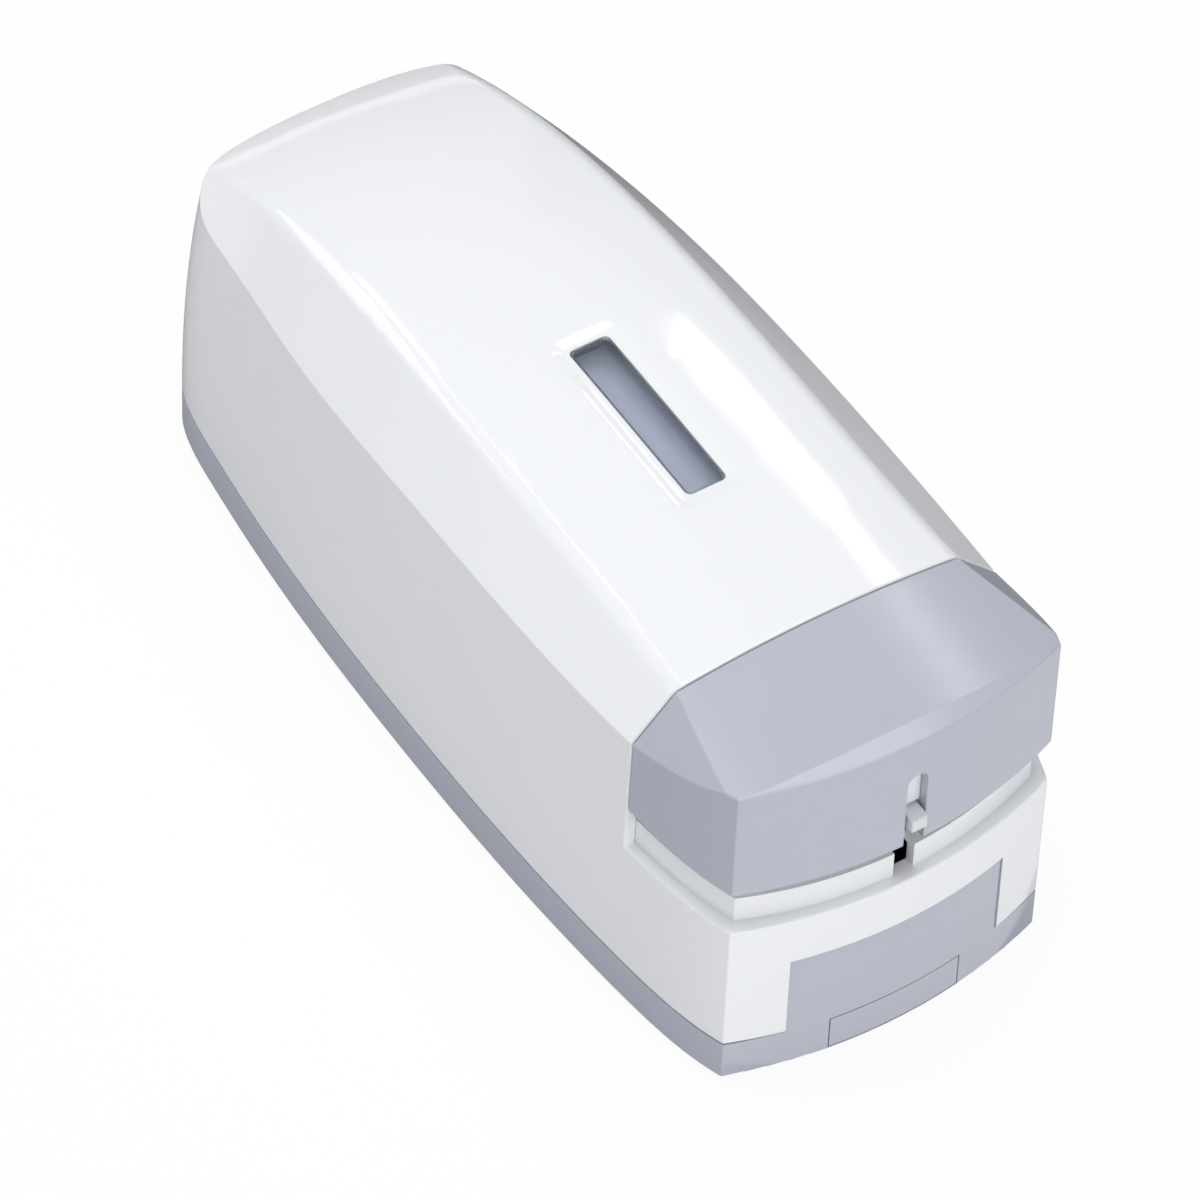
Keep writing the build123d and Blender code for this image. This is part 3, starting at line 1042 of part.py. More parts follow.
with BuildPart() as paper_switch:
    cut_block(TRIGGER_X - EAR_INNER, TRIGGER_X + EAR_INNER, at(SWITCH_FRONT), at(SWITCH_END), TRIGGER_PIVOT[1] - SWITCH_DROP,
              TRIGGER_PIVOT[1] + 0.3, mode=Mode.ADD)
    with Locations(Plane(origin=(TRIGGER_X, at(SWITCH_END + 0.5), TRIGGER_PIVOT[1] - 4.2), z_dir=(0, 1, 0))):
        Cylinder(0.9, 1.6)
    for place in (SWITCH_FRONT + 2, SWITCH_FRONT + 6, SWITCH_FRONT + 10):
        cut_block(TRIGGER_X - 0.4, TRIGGER_X + 0.4, at(place) - 1, at(place) + 1, TRIGGER_PIVOT[1] - 9.5,
                  TRIGGER_PIVOT[1] - SWITCH_DROP, mode=Mode.ADD)
finish(paper_switch, "paper_switch")

# ---------------------------------------------------------------- power supply and rear panel
board_top = BOARD_Z + BOARD_THICK
with BuildPart() as circuit_board:
    cut_block(-BOARD_HALF, BOARD_HALF, at(BOARD_FROM), at(BOARD_TO), BOARD_Z, board_top, mode=Mode.ADD)
    with Locations(*[(x, y, BOARD_Z) for x, y in BOARD_SPOTS]):
        Cylinder(1.2, 6, mode=Mode.SUBTRACT)
finish(circuit_board, "circuit_board")

with BuildPart() as board_screws:
    with Locations(*[(x, y, board_top + 0.7) for x, y in BOARD_SPOTS]):
        Cylinder(2.3, 1.4)
    with Locations(*[(x, y, board_top - 2.4) for x, y in BOARD_SPOTS]):
        Cylinder(1.2, 4.8)
    with Locations(*[(x, y, board_top + 1.2) for x, y in BOARD_SPOTS]):
        Box(2.4, 0.6, 0.5, mode=Mode.SUBTRACT)
finish(board_screws, "board_screws")

CORE_HALF = 20.0
COIL_HALF = 13.0
CORE_LIMB = 8.0           # iron in front of the coil and behind it
CORE_LOW = board_top + 6
CORE_HIGH = CORE_LOW + 16
core_y = (at(BOARD_FROM + 14), at(BOARD_TO - 20))
coil_y = (core_y[0] + CORE_LIMB, core_y[1] - CORE_LIMB)
with BuildPart() as transformer_core:
    cut_block(-CORE_HALF, CORE_HALF, *core_y, CORE_LOW, CORE_HIGH, mode=Mode.ADD)
    cut_block(-CORE_HALF, CORE_HALF, core_y[0] + 2, core_y[0] + 6, board_top, CORE_LOW, mode=Mode.ADD)
    cut_block(-CORE_HALF, CORE_HALF, core_y[1] - 6, core_y[1] - 2, board_top, CORE_LOW, mode=Mode.ADD)
    cut_block(-COIL_HALF, COIL_HALF, *coil_y, CORE_LOW - 1, CORE_HIGH + 1)
finish(transformer_core, "transformer_core")

with BuildPart() as transformer_coil:
    cut_block(-COIL_HALF, COIL_HALF, *coil_y, board_top + 1, CORE_HIGH + 5, mode=Mode.ADD)
    fillet(transformer_coil.edges().filter_by(Axis.Z), 2.5)
finish(transformer_coil, "transformer_coil")

with BuildPart() as capacitors:
    for x, radius in ((-20, 5.0), (0, 4.0), (20, 5.0)):
        with Locations((x, at(BOARD_TO - 14), board_top + 9)):
            Cylinder(radius, 18)
finish(capacitors, "capacitors")

with BuildPart() as heat_sink:
    sink_y = at(BOARD_FROM + 4)
    cut_block(-12, 12, sink_y, sink_y + 2, board_top, board_top + 20, mode=Mode.ADD)
    for rib in range(6):
        place = -11 + rib * 4.4
        cut_block(place - 0.6, place + 0.6, sink_y + 2, sink_y + 7, board_top + 3, board_top + 20, mode=Mode.ADD)
finish(heat_sink, "heat_sink")

# Power switch: a frame through the rear wall, with a flange behind it, and its rocker.
FLANGE_THICK = 2.0
SWITCH_FIT = 0.2
SWITCH_WALL = 0.9
ROCKER_TURN = 8.0
ROCKER_CLEAR = 1.2        # lets the rocker's corners turn inside the frame
flange_y = (at(PAD_AT - FLANGE_THICK), at(PAD_AT))
rear_face = at(PAD_AT + 3.5)     # outer face of switch and inlet
switch_back = rear_face - 18
tag_back = switch_back - 6
rocker_point = (rear_face - 3.5, REAR_Z)
switch_half = ROCKER_SIZE[0] / 2 - SWITCH_FIT
switch_rise = ROCKER_SIZE[1] / 2 - SWITCH_FIT
with BuildPart() as power_switch:
    cut_block(SWITCH_X - switch_half, SWITCH_X + switch_half, switch_back, rear_face, REAR_Z - switch_rise,
              REAR_Z + switch_rise, mode=Mode.ADD)
    cut_block(SWITCH_X - switch_half - 2.5, SWITCH_X + switch_half + 2.5, *flange_y,
              REAR_Z - switch_rise - 2.5, REAR_Z + switch_rise + 2.5, mode=Mode.ADD)
    cut_block(SWITCH_X - switch_half + SWITCH_WALL, SWITCH_X + switch_half - SWITCH_WALL,
              rear_face - 8.5, rear_face + 1,
              REAR_Z - switch_rise + SWITCH_WALL, REAR_Z + switch_rise - SWITCH_WALL)
    rod(rocker_point, SWITCH_X - 8, SWITCH_X + 8, 1.0 + SHAFT_GAP, Mode.SUBTRACT)
    for drop in (-5, 0, 5):
        cut_block(SWITCH_X - 2.2, SWITCH_X + 2.2, tag_back, switch_back, REAR_Z + drop - 0.4,
                  REAR_Z + drop + 0.4, mode=Mode.ADD)
finish(power_switch, "power_switch")

rocker_half = switch_half - SWITCH_WALL - 0.2
rocker_rise = switch_rise - SWITCH_WALL - ROCKER_CLEAR
with BuildPart() as power_rocker:
    # drawn square to the rocker, which stands tipped to its off position
    tip = math.radians(ROCKER_TURN)
    with BuildSketch(Plane(origin=(SWITCH_X - rocker_half, *rocker_point), x_dir=(0, math.cos(tip), math.sin(tip)),
                           z_dir=(1, 0, 0))):
        with BuildLine():
            Polyline((-2.5, -4), (1.5, -rocker_rise), (6, -rocker_rise), (4.7, 0), (6, rocker_rise),
                     (1.5, rocker_rise), (-2.5, 4), close=True)
        make_face()
    extrude(amount=2 * rocker_half)
    fillet(power_rocker.edges().filter_by(Axis.X).group_by(Axis.Y)[-1], 0.6)
    rod(rocker_point, SWITCH_X - switch_half + 0.2, SWITCH_X + switch_half - 0.2, 1.0)
finish(power_rocker, "power_rocker")

# Mains inlet: figure-8 socket with two pins.
PIN_SPREAD = 4.3
PIN_LENGTH = 12.0
SOCKET_DEPTH = 14.0
socket_half = INLET_SIZE[0] / 2 - SWITCH_FIT
socket_rise = INLET_SIZE[1] / 2 - SWITCH_FIT
with BuildPart() as mains_inlet:
    cut_block(INLET_X - socket_half, INLET_X + socket_half, rear_face - 17, rear_face, REAR_Z - socket_rise,
              REAR_Z + socket_rise, mode=Mode.ADD)
    cut_block(INLET_X - socket_half - 2, INLET_X + socket_half + 2, *flange_y, REAR_Z - socket_rise - 2,
              REAR_Z + socket_rise + 2, mode=Mode.ADD)
    with BuildSketch(Plane(origin=(INLET_X, rear_face - SOCKET_DEPTH, REAR_Z), x_dir=(-1, 0, 0), z_dir=(0, 1, 0))):
        with Locations((-PIN_SPREAD, 0), (PIN_SPREAD, 0)):
            Circle(4.2)
        Rectangle(2 * PIN_SPREAD, 6.4)
    extrude(amount=SOCKET_DEPTH + 1, mode=Mode.SUBTRACT)
finish(mains_inlet, "mains_inlet")

with BuildPart() as inlet_pins:
    for side in (-1, 1):
        with Locations(Plane(origin=(INLET_X + side * PIN_SPREAD, rear_face - SOCKET_DEPTH + PIN_LENGTH / 2, REAR_Z),
                             z_dir=(0, 1, 0))):
            Cylinder(1.2, PIN_LENGTH)
finish(inlet_pins, "inlet_pins")
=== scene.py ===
"""Electric stapler: finishes, smooth shells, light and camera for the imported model."""
import json
import logging
import math
from dataclasses import dataclass, field
from enum import Enum
from typing import ClassVar

import bmesh
import bpy
from mathutils import Matrix, Vector
from mathutils.bvhtree import BVHTree


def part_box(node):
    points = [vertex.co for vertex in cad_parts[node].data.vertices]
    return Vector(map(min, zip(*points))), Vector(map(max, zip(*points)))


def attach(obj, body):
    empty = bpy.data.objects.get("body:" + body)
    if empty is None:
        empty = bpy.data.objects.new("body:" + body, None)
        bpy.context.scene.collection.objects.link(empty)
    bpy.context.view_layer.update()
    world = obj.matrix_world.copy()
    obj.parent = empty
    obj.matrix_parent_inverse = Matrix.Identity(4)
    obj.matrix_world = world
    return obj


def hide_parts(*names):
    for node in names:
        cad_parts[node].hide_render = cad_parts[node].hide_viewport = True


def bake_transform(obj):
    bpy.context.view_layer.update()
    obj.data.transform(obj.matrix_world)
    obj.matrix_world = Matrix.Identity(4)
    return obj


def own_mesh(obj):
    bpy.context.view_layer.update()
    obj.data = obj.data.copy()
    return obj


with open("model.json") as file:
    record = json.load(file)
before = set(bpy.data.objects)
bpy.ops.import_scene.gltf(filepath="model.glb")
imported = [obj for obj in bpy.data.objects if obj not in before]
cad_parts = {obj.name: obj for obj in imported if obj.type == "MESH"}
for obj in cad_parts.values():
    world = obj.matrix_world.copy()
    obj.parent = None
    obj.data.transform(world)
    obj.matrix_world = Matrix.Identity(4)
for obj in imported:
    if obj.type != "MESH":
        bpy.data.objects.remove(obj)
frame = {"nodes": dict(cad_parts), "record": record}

LOG = logging.getLogger("stapler")
MM = 0.001
WINDOW_MIDDLE = -14.5       # middle of the window along Y, in mm
MERGE = 0.001 * MM          # corners nearer than this are one
SLIVER = 0.0001 * MM        # edges shorter than this are dropped
COPY_CREASE = 25.0          # edges of a copied solid sharper than this, in degrees, stay crisp
GROWN_CREASE = 35.0         # the same for what Geometry Nodes make
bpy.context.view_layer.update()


# ---------------------------------------------------------------- small helpers
def linear(code: str) -> tuple[float, float, float, float]:
    """Turn an sRGB hex code into a linear colour.

    Args:
        code: Six hex digits, with or without a hash sign.

    Returns:
        Linear red, green and blue, with alpha 1.
    """
    text = code.lstrip("#")
    parts = [int(text[i:i + 2], 16) / 255 for i in (0, 2, 4)]
    flat = [c / 12.92 if c <= 0.04045 else ((c + 0.055) / 1.055) ** 2.4 for c in parts]
    return (flat[0], flat[1], flat[2], 1.0)


def add_node(tree: bpy.types.NodeTree, kind: str, settings: dict | None = None,
             links: dict | None = None) -> bpy.types.Node:
    """Add a node with its settings and links.

    Args:
        tree: The node tree that gets the node.
        kind: The node's type name.
        settings: Attribute or input name to value.
        links: Input name or number to the output socket that feeds it.

    Returns:
        The new node.
    """
    node = tree.nodes.new(kind)
    for name, value in (settings or {}).items():
        if isinstance(name, str) and hasattr(node, name) and name not in node.inputs:
            setattr(node, name, value)
        else:
            node.inputs[name].default_value = value
    for name, source in (links or {}).items():
        tree.links.new(source, node.inputs[name])
    return node


def blank_material(name: str) -> tuple[bpy.types.Material, bpy.types.NodeTree]:
    """Start a material with an empty node tree.

    Args:
        name: The material's name.

    Returns:
        The material and its tree.
    """
    material = bpy.data.materials.new(name)
    material.use_nodes = True
    material.node_tree.nodes.clear()
    return material, material.node_tree


def crease_edges(skin: bmesh.types.BMesh, crease: float) -> None:
    """Shade a skin smoothly, apart from its sharp edges.

    Args:
        skin: The skin to shade.
        crease: Edges sharper than this, in degrees, stay crisp.
    """
    limit = math.radians(crease)
    for face in skin.faces:
        face.smooth = True
    for edge in skin.edges:
        edge.smooth = not (len(edge.link_faces) == 2 and edge.calc_face_angle(0) > limit)


# ---------------------------------------------------------------- finishes
@dataclass(frozen=True)
class Moulded:
    """An injection-moulded plastic, with the slight sink and flow marks of its skin."""

    name: str
    colour: str
    roughness: float
    ior: float = 1.50
    wave_mm: float = 22.0
    wave_depth_mm: float = 0.012
    grain_mm: float = 0.0
    grain_depth_mm: float = 0.0

    def build(self) -> bpy.types.Material:
        """Build the material.

        Returns:
            The finished material.
        """
        material, tree = blank_material(self.name)
        shader = add_node(tree, "ShaderNodeBsdfPrincipled", {
            "Base Color": linear(self.colour), "Roughness": self.roughness, "IOR": self.ior})
        place = add_node(tree, "ShaderNodeTexCoord")
        wave = add_node(tree, "ShaderNodeTexNoise", {"Scale": 1000 / self.wave_mm, "Detail": 1.0},
                        {"Vector": place.outputs["Object"]})
        bump = add_node(tree, "ShaderNodeBump", {"Strength": 1.0, "Distance": self.wave_depth_mm * MM},
                        {"Height": wave.outputs["Fac"]})
        if self.grain_mm:
            grain = add_node(tree, "ShaderNodeTexNoise", {"Scale": 1000 / self.grain_mm, "Detail": 2.0},
                             {"Vector": place.outputs["Object"]})
            bump = add_node(tree, "ShaderNodeBump", {"Strength": 1.0, "Distance": self.grain_depth_mm * MM},
                            {"Height": grain.outputs["Fac"], "Normal": bump.outputs["Normal"]})
        tree.links.new(bump.outputs["Normal"], shader.inputs["Normal"])
        add_node(tree, "ShaderNodeOutputMaterial", {}, {"Surface": shader.outputs["BSDF"]})
        return material


@dataclass(frozen=True)
class Metal:
    """A plain or plated metal with faint rolling marks."""

    name: str
    colour: str
    roughness: float
    grain_mm: float = 1.2
    spread: float = 0.10

    def build(self) -> bpy.types.Material:
        """Build the material.

        Returns:
            The finished material.
        """
        material, tree = blank_material(self.name)
        shader = add_node(tree, "ShaderNodeBsdfPrincipled", {
            "Base Color": linear(self.colour), "Metallic": 1.0})
        place = add_node(tree, "ShaderNodeTexCoord")
        grain = add_node(tree, "ShaderNodeTexNoise", {"Scale": 1000 / self.grain_mm, "Detail": 2.0},
                         {"Vector": place.outputs["Object"]})
        gloss = add_node(tree, "ShaderNodeMapRange", {
            "To Min": self.roughness - self.spread / 2, "To Max": self.roughness + self.spread / 2},
            {"Value": grain.outputs["Fac"]})
        tree.links.new(gloss.outputs["Result"], shader.inputs["Roughness"])
        add_node(tree, "ShaderNodeOutputMaterial", {}, {"Surface": shader.outputs["BSDF"]})
        return material


@dataclass(frozen=True)
class ClearLens:
    """Clear polycarbonate of a small window."""

    name: str = "Clear moulded polycarbonate"
    colour: str = "#F2F5FA"
    roughness: float = 0.03
    ior: float = 1.58
    wave_mm: float = 17.0
    wave_depth_mm: float = 0.004

    def build(self) -> bpy.types.Material:
        """Build the material.

        Returns:
            The finished material.
        """
        material, tree = blank_material(self.name)
        shader = add_node(tree, "ShaderNodeBsdfPrincipled", {
            "Base Color": linear(self.colour), "Roughness": self.roughness, "IOR": self.ior,
            "Transmission Weight": 1.0})
        place = add_node(tree, "ShaderNodeTexCoord")
        wave = add_node(tree, "ShaderNodeTexNoise", {"Scale": 1000 / self.wave_mm},
                        {"Vector": place.outputs["Object"]})
        bump = add_node(tree, "ShaderNodeBump", {"Distance": self.wave_depth_mm * MM},
                        {"Height": wave.outputs["Fac"]})
        tree.links.new(bump.outputs["Normal"], shader.inputs["Normal"])
        add_node(tree, "ShaderNodeOutputMaterial", {}, {"Surface": shader.outputs["BSDF"]})
        return material


class Finish(Enum):
    """The finishes of the stapler's pieces."""

    # White ABS moulded in a polished tool: sharp, clean reflections of the soft boxes on a neutral white.
    WHITE_SHELL = Moulded("Gloss white moulded ABS", "#EEF0F3", 0.07)
    # Cool grey ABS moulded in a fine-blasted tool: the same plastic, but its reflections are softer.
    GREY_SHELL = Moulded("Semi-gloss grey moulded ABS", "#B6BAC6", 0.18)
    # Acetal moulded thin: slightly waxy, so edges and tip shine softly.
    LEVER_WHITE = Moulded("Light grey moulded acetal", "#DCDDE2", 0.30)
    # Blue-grey ABS with a satin skin, its colour lighter than the part's own: painted light standing in for
    # the light the lens holds back, so it reads as an even, shadowed ground under the lens.
    WELL = Moulded("Satin blue-grey moulded ABS", "#CBD1DF", 0.45)
    # Polycarbonate moulded clear: bright rim lines and a faint cool tint.
    LENS = ClearLens()
    # Nitrile rubber pressed in a matt tool: near black, with a dull grain, drawn coarse enough to show.
    RUBBER = Moulded("Matt pressed black rubber", "#26262A", 0.75, grain_mm=1.0, grain_depth_mm=0.02)
    # Steel rolled and zinc plated: light grey metal with patches a little duller and brighter.
    STEEL = Metal("Zinc-plated rolled steel", "#C2C4C8", 0.34)
    # Nylon moulded without pigment: warm cream, half dull.
    NYLON = Moulded("Natural moulded nylon", "#E6E2D4", 0.42)
    # Brass turned on a lathe: yellow metal with a clean shine.
    PINION_BRASS = Metal("Turned brass", "#D9BC72", 0.28)
    # Black ABS moulded in a spark-eroded tool: its grain, drawn coarse enough to show, breaks up reflections.
    BLACK_PLASTIC = Moulded("Grained black moulded ABS", "#202124", 0.45, grain_mm=0.7, grain_depth_mm=0.015)
    # Glass-fibre board under a printed solder mask: deep green and slightly glossy.
    BOARD = Moulded("Green solder mask on glass-fibre board", "#1F5E38", 0.35)
    # Iron stampings dipped in varnish: dark metal with a soft shine.
    IRON = Metal("Varnished iron laminations", "#5A5A60", 0.5)
    # Polyester tape wound over the coil: plain yellow with a low gloss.
    WINDING = Moulded("Wound yellow polyester tape", "#C8A53C", 0.4)
    # Aluminium extruded and left bare: pale metal with a faint uneven sheen.
    ALUMINIUM = Metal("Extruded bare aluminium", "#C9CBD0", 0.38)


# ---------------------------------------------------------------- making pieces
def new_object(name: str, mesh: bpy.types.Mesh) -> bpy.types.Object:
    """Put a mesh into the scene as an object at the origin.

    Args:
        name: The object's name.
        mesh: Its mesh.

    Returns:
        The new object.
    """
    made = bpy.data.objects.new(name, mesh)
    bpy.context.scene.collection.objects.link(made)
    return made


def joined_copy(node: str) -> bpy.types.Object:
    """Copy a CAD node's mesh and join its loose triangles into one skin.

    Args:
        node: The CAD node to copy.

    Returns:
        The joined copy, at the origin.
    """
    mesh = frame["nodes"][node].data.copy()
    mesh.materials.clear()
    skin = bmesh.new()
    skin.from_mesh(mesh)
    bmesh.ops.remove_doubles(skin, verts=skin.verts, dist=MERGE)
    bmesh.ops.dissolve_degenerate(skin, edges=skin.edges, dist=SLIVER)
    crease_edges(skin, COPY_CREASE)
    skin.to_mesh(mesh)
    skin.free()
    return new_object(f"{node}_piece", mesh)


def settle_shading(piece: bpy.types.Object) -> None:
    """Let the large faces of a piece decide how its rounded edges shade.

    Args:
        piece: The piece, whose mesh is replaced.
    """
    modifier = piece.modifiers.new("Settle", "WEIGHTED_NORMAL")
    modifier.keep_sharp = True
    modifier.weight = 100  # the most that a large face can count against a small one
    seen = piece.evaluated_get(bpy.context.evaluated_depsgraph_get())
    mesh = bpy.data.meshes.new_from_object(seen)
    piece.modifiers.remove(modifier)
    piece.data = mesh


def tree_with(name: str, sizes: tuple[str, ...], whole: tuple[str, ...] = ()) -> tuple[
        bpy.types.NodeTree, bpy.types.Node, bpy.types.Node]:
    """Start a Geometry Nodes tree with named size inputs.

    Args:
        name: The tree's name.
        sizes: Names of the length inputs, in metres.
        whole: Names of the whole-number inputs.

    Returns:
        The tree, its input node and its output node.
    """
    tree = bpy.data.node_groups.new(name, "GeometryNodeTree")
    tree.interface.new_socket("Geometry", in_out="INPUT", socket_type="NodeSocketGeometry")
    for label in sizes:
        tree.interface.new_socket(label, in_out="INPUT", socket_type="NodeSocketFloat")
    for label in whole:
        tree.interface.new_socket(label, in_out="INPUT", socket_type="NodeSocketInt")
    tree.interface.new_socket("Geometry", in_out="OUTPUT", socket_type="NodeSocketGeometry")
    return tree, tree.nodes.new("NodeGroupInput"), tree.nodes.new("NodeGroupOutput")


def close_tree(tree: bpy.types.NodeTree, end: bpy.types.Node, shape: bpy.types.NodeSocket,
               material: bpy.types.Material) -> None:
    """End a tree in Realize Instances and Set Material.

    Args:
        tree: The tree to end.
        end: Its output node.
        shape: The socket that carries the finished shape.
        material: The finish that the shape gets.
    """
    real = add_node(tree, "GeometryNodeRealizeInstances", {}, {"Geometry": shape})
    skin = add_node(tree, "GeometryNodeSetMaterial", {"Material": material},
                    {"Geometry": real.outputs["Geometry"]})
    tree.links.new(skin.outputs["Geometry"], end.inputs["Geometry"])


def grow(tree: bpy.types.NodeTree, name: str, spots: list[tuple[float, float, float]],
         sizes: dict[str, float]) -> bpy.types.Object:
    """Run a tree on a set of points and keep the result as a plain mesh.

    Args:
        tree: The Geometry Nodes tree.
        name: The name of the piece.
        spots: Where it puts its pieces, in metres.
        sizes: Input name to value.

    Returns:
        The finished piece, at the origin.
    """
    points = bpy.data.meshes.new(f"{name}_spots")
    points.from_pydata(spots, [], [])
    carrier = new_object(f"{name}_carrier", points)
    modifier = carrier.modifiers.new("Grow", "NODES")
    modifier.node_group = tree
    for item in tree.interface.items_tree:
        if item.item_type == "SOCKET" and item.in_out == "INPUT" and item.name in sizes:
            modifier[item.identifier] = sizes[item.name]
    seen = carrier.evaluated_get(bpy.context.evaluated_depsgraph_get())
    mesh = bpy.data.meshes.new_from_object(seen)
    carrier.modifiers.remove(modifier)
    bpy.data.objects.remove(carrier)
    mesh.name = name
    skin = bmesh.new()
    skin.from_mesh(mesh)
    bmesh.ops.remove_doubles(skin, verts=skin.verts, dist=MERGE)
    bmesh.ops.recalc_face_normals(skin, faces=skin.faces)
    crease_edges(skin, GROWN_CREASE)
    skin.to_mesh(mesh)
    skin.free()
    return new_object(f"{name}_piece", mesh)


@dataclass
class Wardrobe:
    """Builds each finish once and hands it out by the record's slot."""

    # Spans two bodies, so it is tied to neither and rides neither.
    stretched: ClassVar[tuple[str, ...]] = ("lever_spring",)

    materials: dict[str, bpy.types.Material] = field(default_factory=dict)
    slots: dict[str, str] = field(default_factory=lambda: {
        part["node"]: part["material_slot"] for part in frame["record"]["subparts"]})
    bodies: dict[str, str] = field(default_factory=lambda: {
        node: body for body, nodes in frame["record"]["behaviour"]["bodies"].items() for node in nodes})

    def finish_of(self, node: str) -> bpy.types.Material:
        """Look up the finish of a node's slot, and build it the first time.

        Args:
            node: The CAD node.

        Returns:
            The slot's material.
        """
        slot = self.slots[node]
        if slot not in self.materials:
            self.materials[slot] = Finish[slot.upper()].value.build()
        return self.materials[slot]

    def dress(self, piece: bpy.types.Object, node: str) -> None:
        """Give a piece its finish and tie it to its node and body.

        Args:
            piece: The finished piece.
            node: The CAD node that it stands for.
        """
        piece.data.materials.clear()
        piece.data.materials.append(self.finish_of(node))
        if node not in self.stretched:
            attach(piece, self.bodies[node])
        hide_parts(node)
        LOG.info("%s: %d faces, %s", node, len(piece.data.polygons), self.slots[node])


@dataclass
class SubAssembly:
    """A group of pieces that are built and dressed together."""

    wardrobe: Wardrobe
    nodes: ClassVar[tuple[str, ...]] = ()

    def models(self) -> dict[str, bpy.types.Object]:
        """Return the pieces that are modelled here, by node."""
        return {}

    def build(self) -> dict[str, bpy.types.Object]:
        """Build and dress every piece of the group.

        Returns:
            The pieces by node.
        """
        made = self.models()
        for node in self.nodes:
            if node not in made:
                made[node] = joined_copy(node)
        for node, piece in made.items():
            settle_shading(piece)
            self.wardrobe.dress(piece, node)
        return made


# ---------------------------------------------------------------- fasteners, springs and ribs
@dataclass
class ScrewSet:
    """Round-headed screws with a cross recess, all alike: spots in metres, sizes in mm."""

    # Long way, short way and share of the depth of each slot. With equal depths, the floor that
    # they share would leave loose triangles.
    slot_depths: ClassVar[tuple[tuple[str, str, float], ...]] = (("X", "Y", 1.0), ("Y", "X", 0.94))

    name: str
    spots: list[tuple[float, float, float]]
    head_radius: float
    head_height: float
    shank_radius: float
    shank_length: float
    recess_width: float = 0.8
    recess_length: float = 3.0
    recess_depth: float = 0.9
    head_down: bool = False

    def build(self, material: bpy.types.Material) -> bpy.types.Object:
        """Build the screws; each spot is the middle of the head's bearing face.

        Args:
            material: The screws' finish.

        Returns:
            All the screws as one piece.
        """
        tree, start, end = tree_with(f"{self.name} screws", (
            "Head Radius", "Head Height", "Shank Radius", "Shank Length", "Recess Width", "Recess Length",
            "Recess Depth", "Turn"))
        size = start.outputs
        half = add_node(tree, "ShaderNodeMath", {"operation": "MULTIPLY", 1: 0.5}, {0: size["Head Height"]})
        drop = add_node(tree, "ShaderNodeMath", {"operation": "MULTIPLY", 1: -0.5},
                        {0: size["Shank Length"]})
        head = add_node(tree, "GeometryNodeMeshCylinder", {"Vertices": 32}, {
            "Radius": size["Head Radius"], "Depth": size["Head Height"]})
        lift = add_node(tree, "ShaderNodeCombineXYZ", {}, {"Z": half.outputs[0]})
        raised = add_node(tree, "GeometryNodeTransform", {}, {
            "Geometry": head.outputs["Mesh"], "Translation": lift.outputs[0]})
        top = add_node(tree, "ShaderNodeCombineXYZ", {}, {"Z": size["Head Height"]})
        depth = add_node(tree, "ShaderNodeMath", {"operation": "MULTIPLY", 1: 2.0}, {0: size["Recess Depth"]})
        cut = raised.outputs["Geometry"]
        for long_way, short_way, share in self.slot_depths:
            deep = add_node(tree, "ShaderNodeMath", {"operation": "MULTIPLY", 1: share},
                            {0: depth.outputs[0]})
            extent = add_node(tree, "ShaderNodeCombineXYZ", {}, {
                long_way: size["Recess Length"], short_way: size["Recess Width"], "Z": deep.outputs[0]})
            slot = add_node(tree, "GeometryNodeMeshCube", {}, {"Size": extent.outputs[0]})
            placed = add_node(tree, "GeometryNodeTransform", {}, {
                "Geometry": slot.outputs["Mesh"], "Translation": top.outputs[0]})
            less = add_node(tree, "GeometryNodeMeshBoolean", {"operation": "DIFFERENCE"})
            tree.links.new(cut, less.inputs["Mesh 1"])
            tree.links.new(placed.outputs["Geometry"], less.inputs["Mesh 2"])
            cut = less.outputs["Mesh"]
        shank = add_node(tree, "GeometryNodeMeshCylinder", {"Vertices": 24}, {
            "Radius": size["Shank Radius"], "Depth": size["Shank Length"]})
        sink = add_node(tree, "ShaderNodeCombineXYZ", {}, {"Z": drop.outputs[0]})
        lowered = add_node(tree, "GeometryNodeTransform", {}, {
            "Geometry": shank.outputs["Mesh"], "Translation": sink.outputs[0]})
        both = tree.nodes.new("GeometryNodeJoinGeometry")
        tree.links.new(cut, both.inputs["Geometry"])
        tree.links.new(lowered.outputs["Geometry"], both.inputs["Geometry"])
        turn = add_node(tree, "ShaderNodeCombineXYZ", {}, {"X": size["Turn"]})
        stand = add_node(tree, "GeometryNodeInstanceOnPoints", {}, {
            "Points": size["Geometry"], "Instance": both.outputs["Geometry"], "Rotation": turn.outputs[0]})
        close_tree(tree, end, stand.outputs["Instances"], material)
        return grow(tree, self.name, self.spots, {
            "Head Radius": self.head_radius * MM, "Head Height": self.head_height * MM,
            "Shank Radius": self.shank_radius * MM, "Shank Length": self.shank_length * MM,
            "Recess Width": self.recess_width * MM, "Recess Length": self.recess_length * MM,
            "Recess Depth": self.recess_depth * MM, "Turn": math.pi if self.head_down else 0.0})


